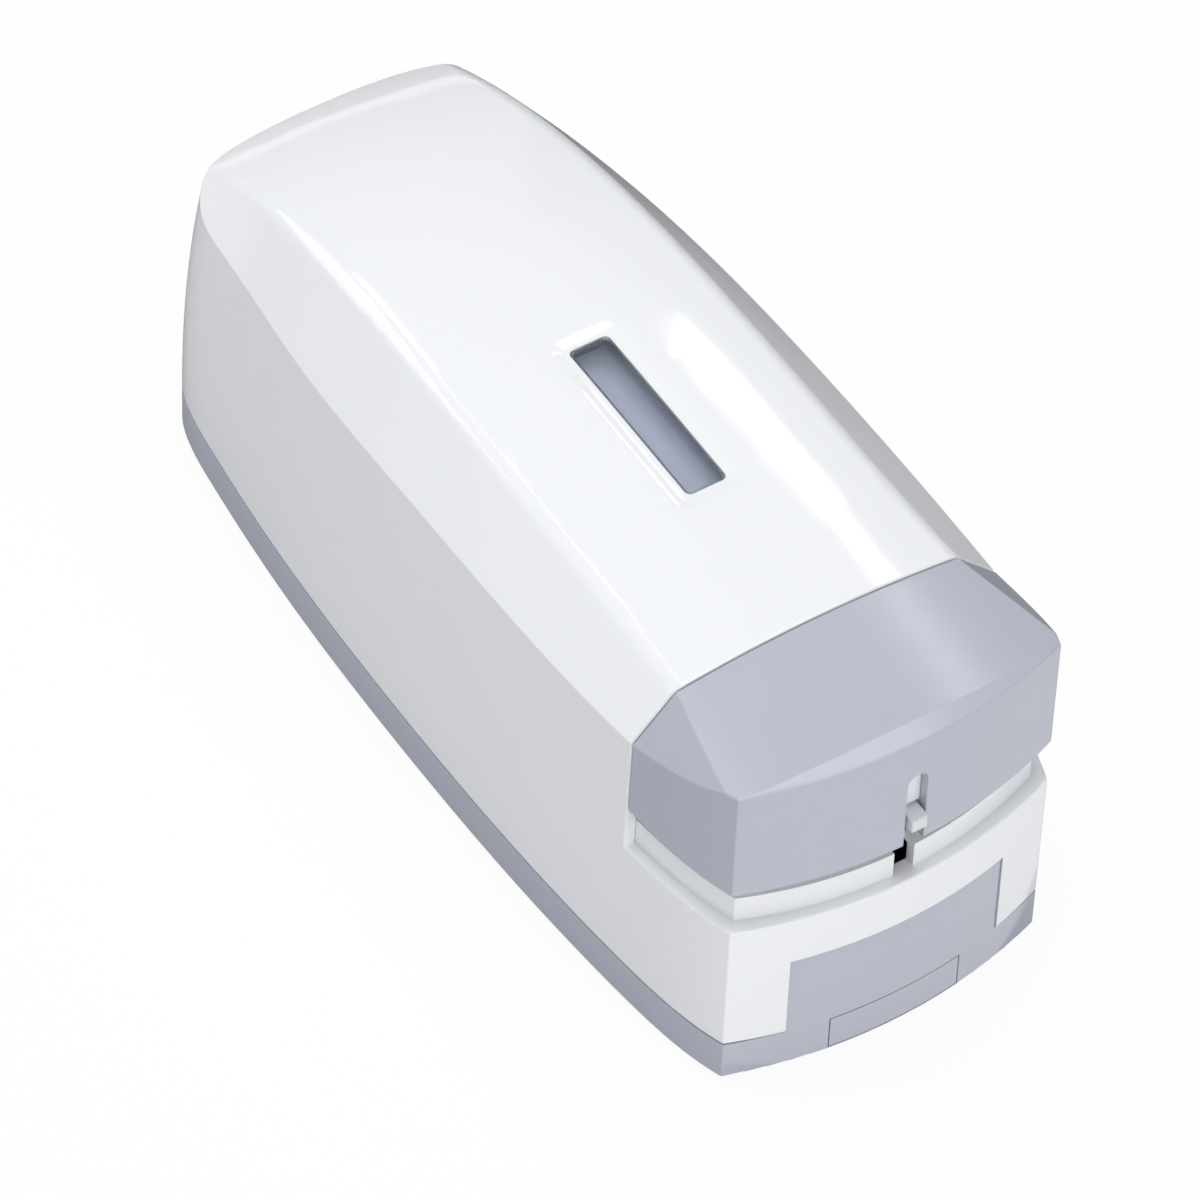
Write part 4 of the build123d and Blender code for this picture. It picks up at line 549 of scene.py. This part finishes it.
@dataclass
class Coil:
    """A coil spring between two points along one axis."""

    name: str
    start: tuple[float, float, float]
    length: float
    radius: float
    wire: float
    turns: float
    tip: float

    def build(self, material: bpy.types.Material) -> bpy.types.Object:
        """Build the spring.

        Args:
            material: The spring's finish.

        Returns:
            The spring.
        """
        tree, start, end = tree_with(f"{self.name} coil", ("Length", "Radius", "Wire", "Turns", "Tip"))
        size = start.outputs
        line = add_node(tree, "GeometryNodeCurveSpiral", {"Resolution": 24}, {
            "Rotations": size["Turns"], "Start Radius": size["Radius"], "End Radius": size["Radius"],
            "Height": size["Length"]})
        ring = add_node(tree, "GeometryNodeCurvePrimitiveCircle", {"Resolution": 8}, {"Radius": size["Wire"]})
        tube = add_node(tree, "GeometryNodeCurveToMesh", {"Fill Caps": True}, {
            "Curve": line.outputs["Curve"], "Profile Curve": ring.outputs["Curve"]})
        tilt = add_node(tree, "ShaderNodeCombineXYZ", {}, {"X": size["Tip"]})
        stand = add_node(tree, "GeometryNodeInstanceOnPoints", {}, {
            "Points": size["Geometry"], "Instance": tube.outputs["Mesh"], "Rotation": tilt.outputs[0]})
        close_tree(tree, end, stand.outputs["Instances"], material)
        return grow(tree, self.name, [self.start], {
            "Length": self.length * MM, "Radius": self.radius * MM, "Wire": self.wire * MM,
            "Turns": self.turns, "Tip": self.tip})


@dataclass
class RibRow:
    """Equal ribs in a row on a back plate."""

    name: str
    low: tuple[float, float, float]
    high: tuple[float, float, float]
    plate: float
    rib: float
    count: int
    lift: float

    def build(self, material: bpy.types.Material) -> bpy.types.Object:
        """Build plate and ribs.

        Args:
            material: The finish of both.

        Returns:
            The ribbed plate.
        """
        tree, start, end = tree_with(
            f"{self.name} ribs", ("Width", "Depth", "Height", "Plate", "Rib", "Lift"), ("Count",))
        size = start.outputs
        plate_size = add_node(tree, "ShaderNodeCombineXYZ", {}, {
            "X": size["Width"], "Y": size["Plate"], "Z": size["Height"]})
        plate = add_node(tree, "GeometryNodeMeshCube", {}, {"Size": plate_size.outputs[0]})
        reach = add_node(tree, "ShaderNodeMath", {"operation": "SUBTRACT"},
                         {0: size["Depth"], 1: size["Plate"]})
        tall = add_node(tree, "ShaderNodeMath", {"operation": "SUBTRACT"},
                        {0: size["Height"], 1: size["Lift"]})
        rib_size = add_node(tree, "ShaderNodeCombineXYZ", {}, {
            "X": size["Rib"], "Y": reach.outputs[0], "Z": tall.outputs[0]})
        rib = add_node(tree, "GeometryNodeMeshCube", {}, {"Size": rib_size.outputs[0]})
        span = add_node(tree, "ShaderNodeMath", {"operation": "SUBTRACT"},
                        {0: size["Width"], 1: size["Rib"]})
        first_x = add_node(tree, "ShaderNodeMath", {"operation": "MULTIPLY", 1: -0.5}, {0: span.outputs[0]})
        behind = add_node(tree, "ShaderNodeMath", {"operation": "MULTIPLY", 1: 0.5}, {0: size["Depth"]})
        raise_by = add_node(tree, "ShaderNodeMath", {"operation": "MULTIPLY", 1: 0.5}, {0: size["Lift"]})
        first = add_node(tree, "ShaderNodeCombineXYZ", {}, {
            "X": first_x.outputs[0], "Y": behind.outputs[0], "Z": raise_by.outputs[0]})
        last_x = add_node(tree, "ShaderNodeMath", {"operation": "MULTIPLY", 1: 0.5}, {0: span.outputs[0]})
        last = add_node(tree, "ShaderNodeCombineXYZ", {}, {
            "X": last_x.outputs[0], "Y": behind.outputs[0], "Z": raise_by.outputs[0]})
        row = add_node(tree, "GeometryNodeMeshLine", {"mode": "END_POINTS"}, {
            "Count": size["Count"], "Start Location": first.outputs[0], "Offset": last.outputs[0]})
        ribs = add_node(tree, "GeometryNodeInstanceOnPoints", {}, {
            "Points": row.outputs["Mesh"], "Instance": rib.outputs["Mesh"]})
        whole = tree.nodes.new("GeometryNodeJoinGeometry")
        tree.links.new(plate.outputs["Mesh"], whole.inputs["Geometry"])
        tree.links.new(ribs.outputs["Instances"], whole.inputs["Geometry"])
        stand = add_node(tree, "GeometryNodeInstanceOnPoints", {}, {
            "Points": size["Geometry"], "Instance": whole.outputs["Geometry"]})
        close_tree(tree, end, stand.outputs["Instances"], material)
        low, high = Vector(self.low), Vector(self.high)
        middle = ((low.x + high.x) / 2 * MM, (low.y + self.plate / 2) * MM, (low.z + high.z) / 2 * MM)
        return grow(tree, self.name, [middle], {
            "Width": (high.x - low.x) * MM, "Depth": (high.y - low.y) * MM, "Height": (high.z - low.z) * MM,
            "Plate": self.plate * MM, "Rib": self.rib * MM, "Lift": self.lift * MM, "Count": self.count})


# ---------------------------------------------------------------- sub-assemblies
@dataclass
class OuterShells(SubAssembly):
    """The white housing, the grey cap and tray, and the catch tray's front."""

    nodes: ClassVar[tuple[str, ...]] = ("main_housing", "nose_cap", "base_tray", "catch_tray")
    window_half: tuple[float, float] = (5.0, 23.0)
    dish_depth: float = 0.50
    dish_reach: float = 4.5
    dish_step: float = 0.75
    dish_floor: float = 85.0    # only faces above this height are sunk
    upright: float = 0.7        # and only those whose normal points up by this share
    long_step: float = 4.0      # spacing of the cuts along the window's long sides
    long_cuts: int = 5          # how many lie on each side of its middle

    def dish(self, housing: bpy.types.Object) -> None:
        """Sink the housing's top softly towards the window.

        Args:
            housing: The housing's joined skin, which is changed.
        """
        skin = bmesh.new()
        skin.from_mesh(housing.data)
        reach = self.dish_reach
        span_x = self.window_half[0] + reach
        span_y = self.window_half[1] + reach

        def near(face: bmesh.types.BMFace) -> bool:
            """Tell whether a face of the outer top lies round the window.

            Args:
                face: The face to judge.

            Returns:
                True where it lies there.
            """
            if face.normal.z < self.upright:
                return False
            xs = [v.co.x / MM for v in face.verts]
            ys = [v.co.y / MM - WINDOW_MIDDLE for v in face.verts]
            return (min(v.co.z for v in face.verts) > self.dish_floor * MM and min(xs) < span_x
                    and max(xs) > -span_x and min(ys) < span_y and max(ys) > -span_y)

        def cut(place: float, axis: int) -> None:
            """Cut the faces round the window along one line.

            Args:
                place: Distance of the line from the window's middle, in mm.
                axis: 0 for a line across X, 1 for one across Y.
            """
            faces = [f for f in skin.faces if near(f)]
            parts = list({e for f in faces for e in f.edges} | {v for f in faces for v in f.verts}) + faces
            point, normal = Vector((place * MM, 0, 0)), Vector((1, 0, 0))
            if axis == 1:
                point, normal = Vector((0, (place + WINDOW_MIDDLE) * MM, 0)), Vector((0, 1, 0))
            bmesh.ops.bisect_plane(skin, geom=parts, plane_co=point, plane_no=normal, dist=SLIVER)

        steps = int(reach / self.dish_step)
        for axis, half in enumerate(self.window_half):
            for step in range(1, steps + 1):
                place = half + reach * step / steps
                cut(place, axis)
                cut(-place, axis)
        for step in range(-self.long_cuts, self.long_cuts + 1):
            cut(step * self.long_step, 1)
        top = {v for f in skin.faces if near(f) for v in f.verts}
        for vert in top:
            out_x = max(0.0, abs(vert.co.x / MM) - self.window_half[0])
            out_y = max(0.0, abs(vert.co.y / MM - WINDOW_MIDDLE) - self.window_half[1])
            share = min(1.0, math.hypot(out_x, out_y) / reach)
            vert.co.z -= self.dish_depth * MM * (0.5 + 0.5 * math.cos(math.pi * share))
        for face in skin.faces:
            face.smooth = True
        skin.to_mesh(housing.data)
        skin.free()

    def models(self) -> dict[str, bpy.types.Object]:
        """Give the housing its dish round the window.

        Returns:
            The housing by its node.
        """
        housing = joined_copy("main_housing")
        self.dish(housing)
        return {"main_housing": housing}


@dataclass
class WindowUnit(SubAssembly):
    """The clear lens in the top and the well under it."""

    nodes: ClassVar[tuple[str, ...]] = ("window_lens", "window_well")
    bead_half: tuple[float, float] = (4.66, 22.66)
    bead_corner: float = 1.2
    bead_wire: float = 0.30
    above: float = 1000.0       # height from which the bead is dropped onto the lens

    def bead(self) -> bpy.types.Object:
        """Run a moulded bead round the lens, just inside the opening.

        Returns:
            The bead, laid on the lens's outer face.
        """
        tree, start, end = tree_with("Lens bead", ("Width", "Length", "Corner", "Wire"))
        size = start.outputs
        outline = add_node(tree, "GeometryNodeCurvePrimitiveQuadrilateral", {}, {
            "Width": size["Width"], "Height": size["Length"]})
        corner = add_node(tree, "GeometryNodeFilletCurve", {"mode": "POLY", "Count": 8}, {
            "Curve": outline.outputs["Curve"], "Radius": size["Corner"]})
        even = add_node(tree, "GeometryNodeResampleCurve", {"Count": 220},
                        {"Curve": corner.outputs["Curve"]})
        ring = add_node(tree, "GeometryNodeCurvePrimitiveCircle", {"Resolution": 10},
                        {"Radius": size["Wire"]})
        tube = add_node(tree, "GeometryNodeCurveToMesh", {}, {
            "Curve": even.outputs["Curve"], "Profile Curve": ring.outputs["Curve"]})
        stand = add_node(tree, "GeometryNodeInstanceOnPoints", {}, {
            "Points": size["Geometry"], "Instance": tube.outputs["Mesh"]})
        close_tree(tree, end, stand.outputs["Instances"], self.wardrobe.finish_of("window_lens"))
        bead = grow(tree, "lens_bead", [(0.0, WINDOW_MIDDLE * MM, 0.0)], {
            "Width": 2 * self.bead_half[0] * MM, "Length": 2 * self.bead_half[1] * MM,
            "Corner": self.bead_corner * MM, "Wire": self.bead_wire * MM})
        mesh = frame["nodes"]["window_lens"].data
        lens = BVHTree.FromPolygons([v.co for v in mesh.vertices], [p.vertices for p in mesh.polygons])
        for vert in bead.data.vertices:
            hit = lens.ray_cast(Vector((vert.co.x, vert.co.y, self.above * MM)), Vector((0, 0, -1)))[0]
            vert.co.z += hit.z
        return bead

    def models(self) -> dict[str, bpy.types.Object]:
        """Join the bead to the lens.

        Returns:
            The lens by its node.
        """
        lens, bead = joined_copy("window_lens"), self.bead()
        skin = bmesh.new()
        skin.from_mesh(lens.data)
        skin.from_mesh(bead.data)
        skin.to_mesh(lens.data)
        skin.free()
        bpy.data.objects.remove(bead)
        return {"window_lens": lens}


@dataclass
class FootSet:
    """Round rubber feet with a bevelled lower rim, all alike: spots in metres, sizes in mm."""

    name: str
    spots: list[tuple[float, float, float]]
    radius: float
    height: float
    rim: float

    def build(self, material: bpy.types.Material) -> bpy.types.Object:
        """Build the feet; each spot is the middle of the sole.

        Args:
            material: The feet's finish.

        Returns:
            All the feet as one piece.
        """
        tree, start, end = tree_with(
            "Rubber feet", ("Sole Radius", "Rim Height", "Rim Flare", "Body Height"))
        size = start.outputs
        sole = add_node(tree, "GeometryNodeMeshCircle", {"fill_type": "NGON", "Vertices": 48}, {
            "Radius": size["Sole Radius"]})
        turned = add_node(tree, "GeometryNodeFlipFaces", {}, {"Mesh": sole.outputs["Mesh"]})
        rim = add_node(tree, "GeometryNodeExtrudeMesh", {"Individual": False}, {
            "Mesh": sole.outputs["Mesh"], "Offset Scale": size["Rim Height"]})
        flare = add_node(tree, "GeometryNodeScaleElements", {}, {
            "Geometry": rim.outputs["Mesh"], "Selection": rim.outputs["Top"], "Scale": size["Rim Flare"]})
        body = add_node(tree, "GeometryNodeExtrudeMesh", {"Individual": False}, {
            "Mesh": flare.outputs["Geometry"], "Selection": rim.outputs["Top"],
            "Offset Scale": size["Body Height"]})
        foot = tree.nodes.new("GeometryNodeJoinGeometry")
        tree.links.new(body.outputs["Mesh"], foot.inputs["Geometry"])
        tree.links.new(turned.outputs["Mesh"], foot.inputs["Geometry"])
        stand = add_node(tree, "GeometryNodeInstanceOnPoints", {}, {
            "Points": size["Geometry"], "Instance": foot.outputs["Geometry"]})
        close_tree(tree, end, stand.outputs["Instances"], material)
        return grow(tree, self.name, self.spots, {
            "Sole Radius": (self.radius - self.rim) * MM, "Rim Height": self.rim * MM,
            "Rim Flare": self.radius / (self.radius - self.rim),
            "Body Height": (self.height - self.rim) * MM})


@dataclass
class Footing(SubAssembly):
    """Rubber feet and the four screws that hold tray and housing together."""

    nodes: ClassVar[tuple[str, ...]] = ("rubber_feet", "housing_screws")
    foot_radius: float = 6.0
    foot_height: float = 2.5
    foot_rim: float = 0.5
    front_row: tuple[float, float] = (39.4, -50.7)
    rear_row: tuple[float, float] = (36.6, 69.3)
    seat: float = 4.5

    def models(self) -> dict[str, bpy.types.Object]:
        """Build the feet, and the housing screws with their heads down.

        Returns:
            The feet and the screws by node.
        """
        low, high = (Vector(corner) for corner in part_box("rubber_feet"))
        radius = self.foot_radius * MM
        soles = [(x, y, 0.0) for x in (low.x + radius, high.x - radius)
                 for y in (low.y + radius, high.y - radius)]
        feet = FootSet("rubber_feet", soles, self.foot_radius, self.foot_height, self.foot_rim)
        rows = (self.front_row, self.rear_row)
        spots = [(side * x * MM, y * MM, self.seat * MM) for x, y in rows for side in (1, -1)]
        screws = ScrewSet("housing_screws", spots, head_radius=3.0, head_height=2.0, shank_radius=1.5,
                          shank_length=18.0, head_down=True)
        return {"rubber_feet": feet.build(self.wardrobe.finish_of("rubber_feet")),
                "housing_screws": screws.build(self.wardrobe.finish_of("housing_screws"))}


@dataclass
class StapleDrawer(SubAssembly):
    """The pull-out drawer: carrier, magazine, pusher, springs and release lever."""

    nodes: ClassVar[tuple[str, ...]] = (
        "drawer_carrier", "cap_screws", "release_lever", "magazine_channel", "staple_core", "pusher_rod",
        "staple_pusher", "pusher_spring", "lever_spring")
    pusher_wire: tuple[float, float] = (1.6, 0.25)      # radius of the turns and of the wire
    pusher_turns: float = 26.0
    lever_wire: tuple[float, float] = (0.9, 0.2)
    lever_turns: float = 8.0
    pusher_travel: float = 88.0

    def coil(self, node: str, axis: int, radius: float, wire: float, turns: float) -> bpy.types.Object:
        """Wind a spring into the room of its CAD node.

        Args:
            node: The spring's node.
            axis: 1 for a spring along Y, 2 for one along Z.
            radius: Mean radius of its turns.
            wire: Radius of its wire.
            turns: Number of turns.

        Returns:
            The spring.
        """
        low, high = (Vector(corner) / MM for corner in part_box(node))
        start = [(low[k] + high[k]) / 2 for k in range(3)]
        start[axis] = low[axis] + wire
        length = high[axis] - low[axis] - 2 * wire
        spring = Coil(node, tuple(v * MM for v in start), length, radius, wire, turns,
                      -math.pi / 2 if axis == 1 else 0.0)
        return spring.build(self.wardrobe.finish_of(node))

    def models(self) -> dict[str, bpy.types.Object]:
        """Wind the two springs.

        Returns:
            The springs by node.
        """
        return {"pusher_spring": self.coil("pusher_spring", 1, *self.pusher_wire, self.pusher_turns),
                "lever_spring": self.coil("lever_spring", 2, *self.lever_wire, self.lever_turns)}

    def build(self) -> dict[str, bpy.types.Object]:
        """Build the drawer, give the pusher spring a mesh of its own, and fix the lever spring's place in its
        mesh.

        Returns:
            The pieces by node.
        """
        made = super().build()
        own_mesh(made["pusher_spring"])
        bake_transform(made["lever_spring"])
        return made


@dataclass
class DriveHead(SubAssembly):
    """Chassis, motor, gears, crank, arm and driver."""

    nodes: ClassVar[tuple[str, ...]] = (
        "magazine_guide", "anvil_plate", "chassis_left", "chassis_right", "chassis_screws", "motor",
        "motor_screws", "arm_pin", "idler_shaft", "gear_cover", "crank_shaft", "crank_gear", "idler_gear",
        "motor_pinion", "driver_arm", "driver_ram", "driver_blade")
    screw_rows: tuple[float, float] = (-52.7, -40.7)
    screw_half: float = 17.5
    plate_top: float = 5.5

    def models(self) -> dict[str, bpy.types.Object]:
        """Build the chassis screws.

        Returns:
            The screws by their node.
        """
        spots = [(side * self.screw_half * MM, y * MM, self.plate_top * MM)
                 for y in self.screw_rows for side in (1, -1)]
        screws = ScrewSet("chassis_screws", spots, head_radius=2.4, head_height=1.6, shank_radius=1.2,
                          shank_length=3.3, recess_width=0.6, recess_length=2.4, recess_depth=0.5)
        return {"chassis_screws": screws.build(self.wardrobe.finish_of("chassis_screws"))}


@dataclass
class PaperSensor(SubAssembly):
    """The paper trigger with its pin and switch."""

    nodes: ClassVar[tuple[str, ...]] = ("paper_trigger", "trigger_pin", "paper_switch")


@dataclass
class PowerSupply(SubAssembly):
    """The circuit board with its parts and screws."""

    nodes: ClassVar[tuple[str, ...]] = (
        "circuit_board", "board_screws", "transformer_core", "transformer_coil", "capacitors", "heat_sink")
    ribs: int = 6
    sink_plate: float = 2.0
    rib_thick: float = 1.2
    rib_lift: float = 3.0
    screw_inset: tuple[float, float] = (6.0, 6.0)

    def models(self) -> dict[str, bpy.types.Object]:
        """Build the heat sink and the board's screws.

        Returns:
            Both by node.
        """
        low, high = (Vector(corner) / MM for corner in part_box("heat_sink"))
        sink = RibRow("heat_sink", tuple(low), tuple(high), plate=self.sink_plate, rib=self.rib_thick,
                      count=self.ribs, lift=self.rib_lift)
        low, high = (Vector(corner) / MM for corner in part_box("circuit_board"))
        inset_x, inset_y = self.screw_inset
        spots = [(x * MM, y * MM, high.z * MM) for x in (low.x + inset_x, high.x - inset_x)
                 for y in (low.y + inset_y, high.y - inset_y)]
        screws = ScrewSet("board_screws", spots, head_radius=2.3, head_height=1.4, shank_radius=1.2,
                          shank_length=4.8, recess_width=0.6, recess_length=2.4, recess_depth=0.5)
        return {"heat_sink": sink.build(self.wardrobe.finish_of("heat_sink")),
                "board_screws": screws.build(self.wardrobe.finish_of("board_screws"))}


@dataclass
class RearPanel(SubAssembly):
    """Power switch and mains inlet."""

    nodes: ClassVar[tuple[str, ...]] = ("power_switch", "power_rocker", "mains_inlet", "inlet_pins")


# ---------------------------------------------------------------- stage
@dataclass(frozen=True)
class SoftBox:
    """A rectangular lamp: place, aim and size in metres, power in watts, roll in degrees."""

    name: str
    place: tuple[float, float, float]
    aim: tuple[float, float, float]
    size: tuple[float, float]
    power: float
    roll: float = 0.0

    def hang(self) -> bpy.types.Object:
        """Hang the lamp and turn it to its aim.

        Returns:
            The lamp object.
        """
        data = bpy.data.lights.new(self.name, "AREA")
        data.shape = "RECTANGLE"
        data.size, data.size_y = self.size
        data.energy = self.power
        lamp = bpy.data.objects.new(self.name, data)
        lamp.location = self.place
        turn = (Vector(self.aim) - Vector(self.place)).to_track_quat("-Z", "Y").to_matrix()
        lamp.rotation_euler = (turn @ Matrix.Rotation(math.radians(self.roll), 3, "Z")).to_euler()
        bpy.context.scene.collection.objects.link(lamp)
        return lamp


@dataclass
class Stage:
    """Pale floor, soft studio light and the camera."""

    # The first three give the even light, the last two the bright streaks along the top.
    boxes: ClassVar[tuple[SoftBox, ...]] = (
        SoftBox("Overhead box", (0.05, 0.0, 1.3), (0, 0, 0.05), (1.1, 1.1), 9.8),
        SoftBox("Front box", (-0.12, -1.2, 0.42), (0, 0, 0.05), (0.9, 0.7), 5.1),
        SoftBox("Rear box", (-0.45, 1.1, 0.9), (0, 0, 0.05), (0.9, 0.7), 3.8),
        SoftBox("Strip box", (0.60, 0.46, 0.82), (0.025, -0.06, 0.09), (0.22, 0.13), 0.66, -34.5),
        SoftBox("Crest box", (0.15, 0.75, 1.05), (-0.02, 0.02, 0.09), (0.06, 0.56), 0.26),
    )

    floor_half: float = 3.0
    camera_place: tuple[float, float, float] = (-725.88, -1039.42, 1478.81)     # in mm
    camera_right: tuple[float, float, float] = (0.8385, -0.54409, 0.02978)
    camera_up: tuple[float, float, float] = (0.39432, 0.64359, 0.65597)
    lens: float = 270.0
    sensor: float = 36.0
    far: float = 20.0
    fill: float = 0.40
    floor_white: float = 0.93
    shade_x: float = 0.42
    shade_half: float = 0.7
    shade_low: float = 0.003
    shade_top: float = 0.62
    shade_colour: str = "#303032"
    # Sheets of painted shade on the floor beside the object, seen only in reflections: where they start,
    # their height and their greys.
    table_front: float = -0.112
    table_height: float = 0.002
    right_colour: str = "#707074"
    left_colour: str = "#909094"
    floor_colour: str = "#F4F4F5"

    def card(self, name: str, corners: list[tuple[float, float, float]], colour: str,
             mirrored: bool) -> bpy.types.Object:
        """Put up a dark card of matt painted board, which the camera can't see: a flag that blocks light, or,
        when mirrored, a sheet of painted shade that only reflections show.

        Args:
            name: The card's name.
            corners: Its four corners in order.
            colour: Its colour.
            mirrored: Only glossy surfaces show it, and it casts no shade.

        Returns:
            The card.
        """
        mesh = bpy.data.meshes.new(name)
        mesh.from_pydata(corners, [], [(0, 1, 2, 3)])
        card = new_object(name, mesh)
        # Matt painted board: an even grey without any sheen, which only darkens what faces it; on the
        # mirrored cards this grey is painted shade seen in reflections.
        material, tree = blank_material(f"{name} card")
        shader = add_node(tree, "ShaderNodeBsdfDiffuse", {"Color": linear(colour)})
        add_node(tree, "ShaderNodeOutputMaterial", {}, {"Surface": shader.outputs[0]})
        mesh.materials.append(material)
        card.visible_camera = False
        if mirrored:
            card.visible_shadow = False
            card.visible_diffuse = False
            card.visible_transmission = False
        return card

    def cards(self) -> None:
        """Shade the right-hand side with a flag, and lay painted shade on the floor at both sides, which only
        the side walls' reflections show.
        """
        x, half, low, top = self.shade_x, self.shade_half, self.shade_low, self.shade_top
        wall = [(x, -half, low), (x, half, low), (x, half, top), (x, -half, top)]
        self.card("shade", wall, self.shade_colour, False)
        # Two floor sheets seen only in reflections: painted shade standing in for the object's own shadow on
        # the floor, darkening what the side walls reflect.
        near, z = self.table_front, self.table_height
        right = [(0, near, z), (x, near, z), (x, half, z), (0, half, z)]
        left = [(-x, near, z), (0, near, z), (0, half, z), (-x, half, z)]
        self.card("right painted shade", right, self.right_colour, True)
        self.card("left painted shade", left, self.left_colour, True)

    def floor(self) -> bpy.types.Object:
        """Make the floor and its material.

        Returns:
            The floor object.
        """
        half = self.floor_half
        mesh = bpy.data.meshes.new("floor")
        corners = [(-half, -half, 0), (half, -half, 0), (half, half, 0), (-half, half, 0)]
        mesh.from_pydata(corners, [], [(0, 1, 2, 3)])
        floor = new_object("floor", mesh)
        # Matt painted studio floor: plain white that keeps the object's soft shadow.
        material, tree = blank_material("Pale floor")
        shader = add_node(tree, "ShaderNodeBsdfDiffuse", {"Color": linear(self.floor_colour)})
        white = add_node(tree, "ShaderNodeEmission", {"Color": (1, 1, 1, 1), "Strength": 1.0})
        rays = add_node(tree, "ShaderNodeLightPath")
        seen = rays.outputs["Is Camera Ray"]
        for kind in ("Is Glossy Ray", "Is Transmission Ray"):
            most = add_node(tree, "ShaderNodeMath", {"operation": "MAXIMUM"},
                            {0: seen, 1: rays.outputs[kind]})
            seen = most.outputs[0]
        share = add_node(tree, "ShaderNodeMath", {"operation": "MULTIPLY", 1: self.floor_white}, {0: seen})
        mix = add_node(tree, "ShaderNodeMixShader", {}, {
            0: share.outputs[0], 1: shader.outputs[0], 2: white.outputs[0]})
        add_node(tree, "ShaderNodeOutputMaterial", {}, {"Surface": mix.outputs[0]})
        mesh.materials.append(material)
        return floor

    def world(self) -> None:
        """Make the white surroundings."""
        world = bpy.data.worlds.new("Studio")
        bpy.context.scene.world = world
        world.use_nodes = True
        tree = world.node_tree
        tree.nodes.clear()
        fill = add_node(tree, "ShaderNodeBackground", {"Color": (1, 1, 1, 1), "Strength": self.fill})
        white = add_node(tree, "ShaderNodeBackground", {"Color": (1, 1, 1, 1), "Strength": 1.0})
        rays = add_node(tree, "ShaderNodeLightPath")
        seen = add_node(tree, "ShaderNodeMath", {"operation": "MAXIMUM"}, {
            0: rays.outputs["Is Camera Ray"], 1: rays.outputs["Is Transmission Ray"]})
        mix = add_node(tree, "ShaderNodeMixShader", {}, {
            0: seen.outputs[0], 1: fill.outputs[0], 2: white.outputs[0]})
        add_node(tree, "ShaderNodeOutputWorld", {}, {"Surface": mix.outputs[0]})

    def camera(self) -> None:
        """Set the camera at its place, looking along its own axes."""
        right, up = Vector(self.camera_right), Vector(self.camera_up)
        back = right.cross(up)
        turn = Matrix((right, up, back)).transposed().to_4x4()
        data = bpy.data.cameras.new("Camera")
        data.lens = self.lens
        data.sensor_width = self.sensor
        data.clip_end = self.far
        camera = bpy.data.objects.new("Camera", data)
        camera.matrix_world = Matrix.Translation(Vector(self.camera_place) * MM) @ turn
        bpy.context.scene.collection.objects.link(camera)
        bpy.context.scene.camera = camera

    def build(self) -> None:
        """Set up the whole stage."""
        self.floor()
        self.world()
        self.cards()
        for box in self.boxes:
            box.hang()
        self.camera()
        bpy.context.scene.view_settings.view_transform = "Standard"


def main() -> None:
    """Build, dress and light the stapler."""
    logging.basicConfig(level=logging.INFO, format="%(name)s: %(message)s")
    wardrobe = Wardrobe()
    groups: tuple[type[SubAssembly], ...] = (
        OuterShells, WindowUnit, Footing, StapleDrawer, DriveHead, PaperSensor, PowerSupply, RearPanel)
    for group in groups:
        made = group(wardrobe).build()
        LOG.info("%s: %d pieces", group.__name__, len(made))
    Stage().build()


if __name__ == "__main__":
    main()
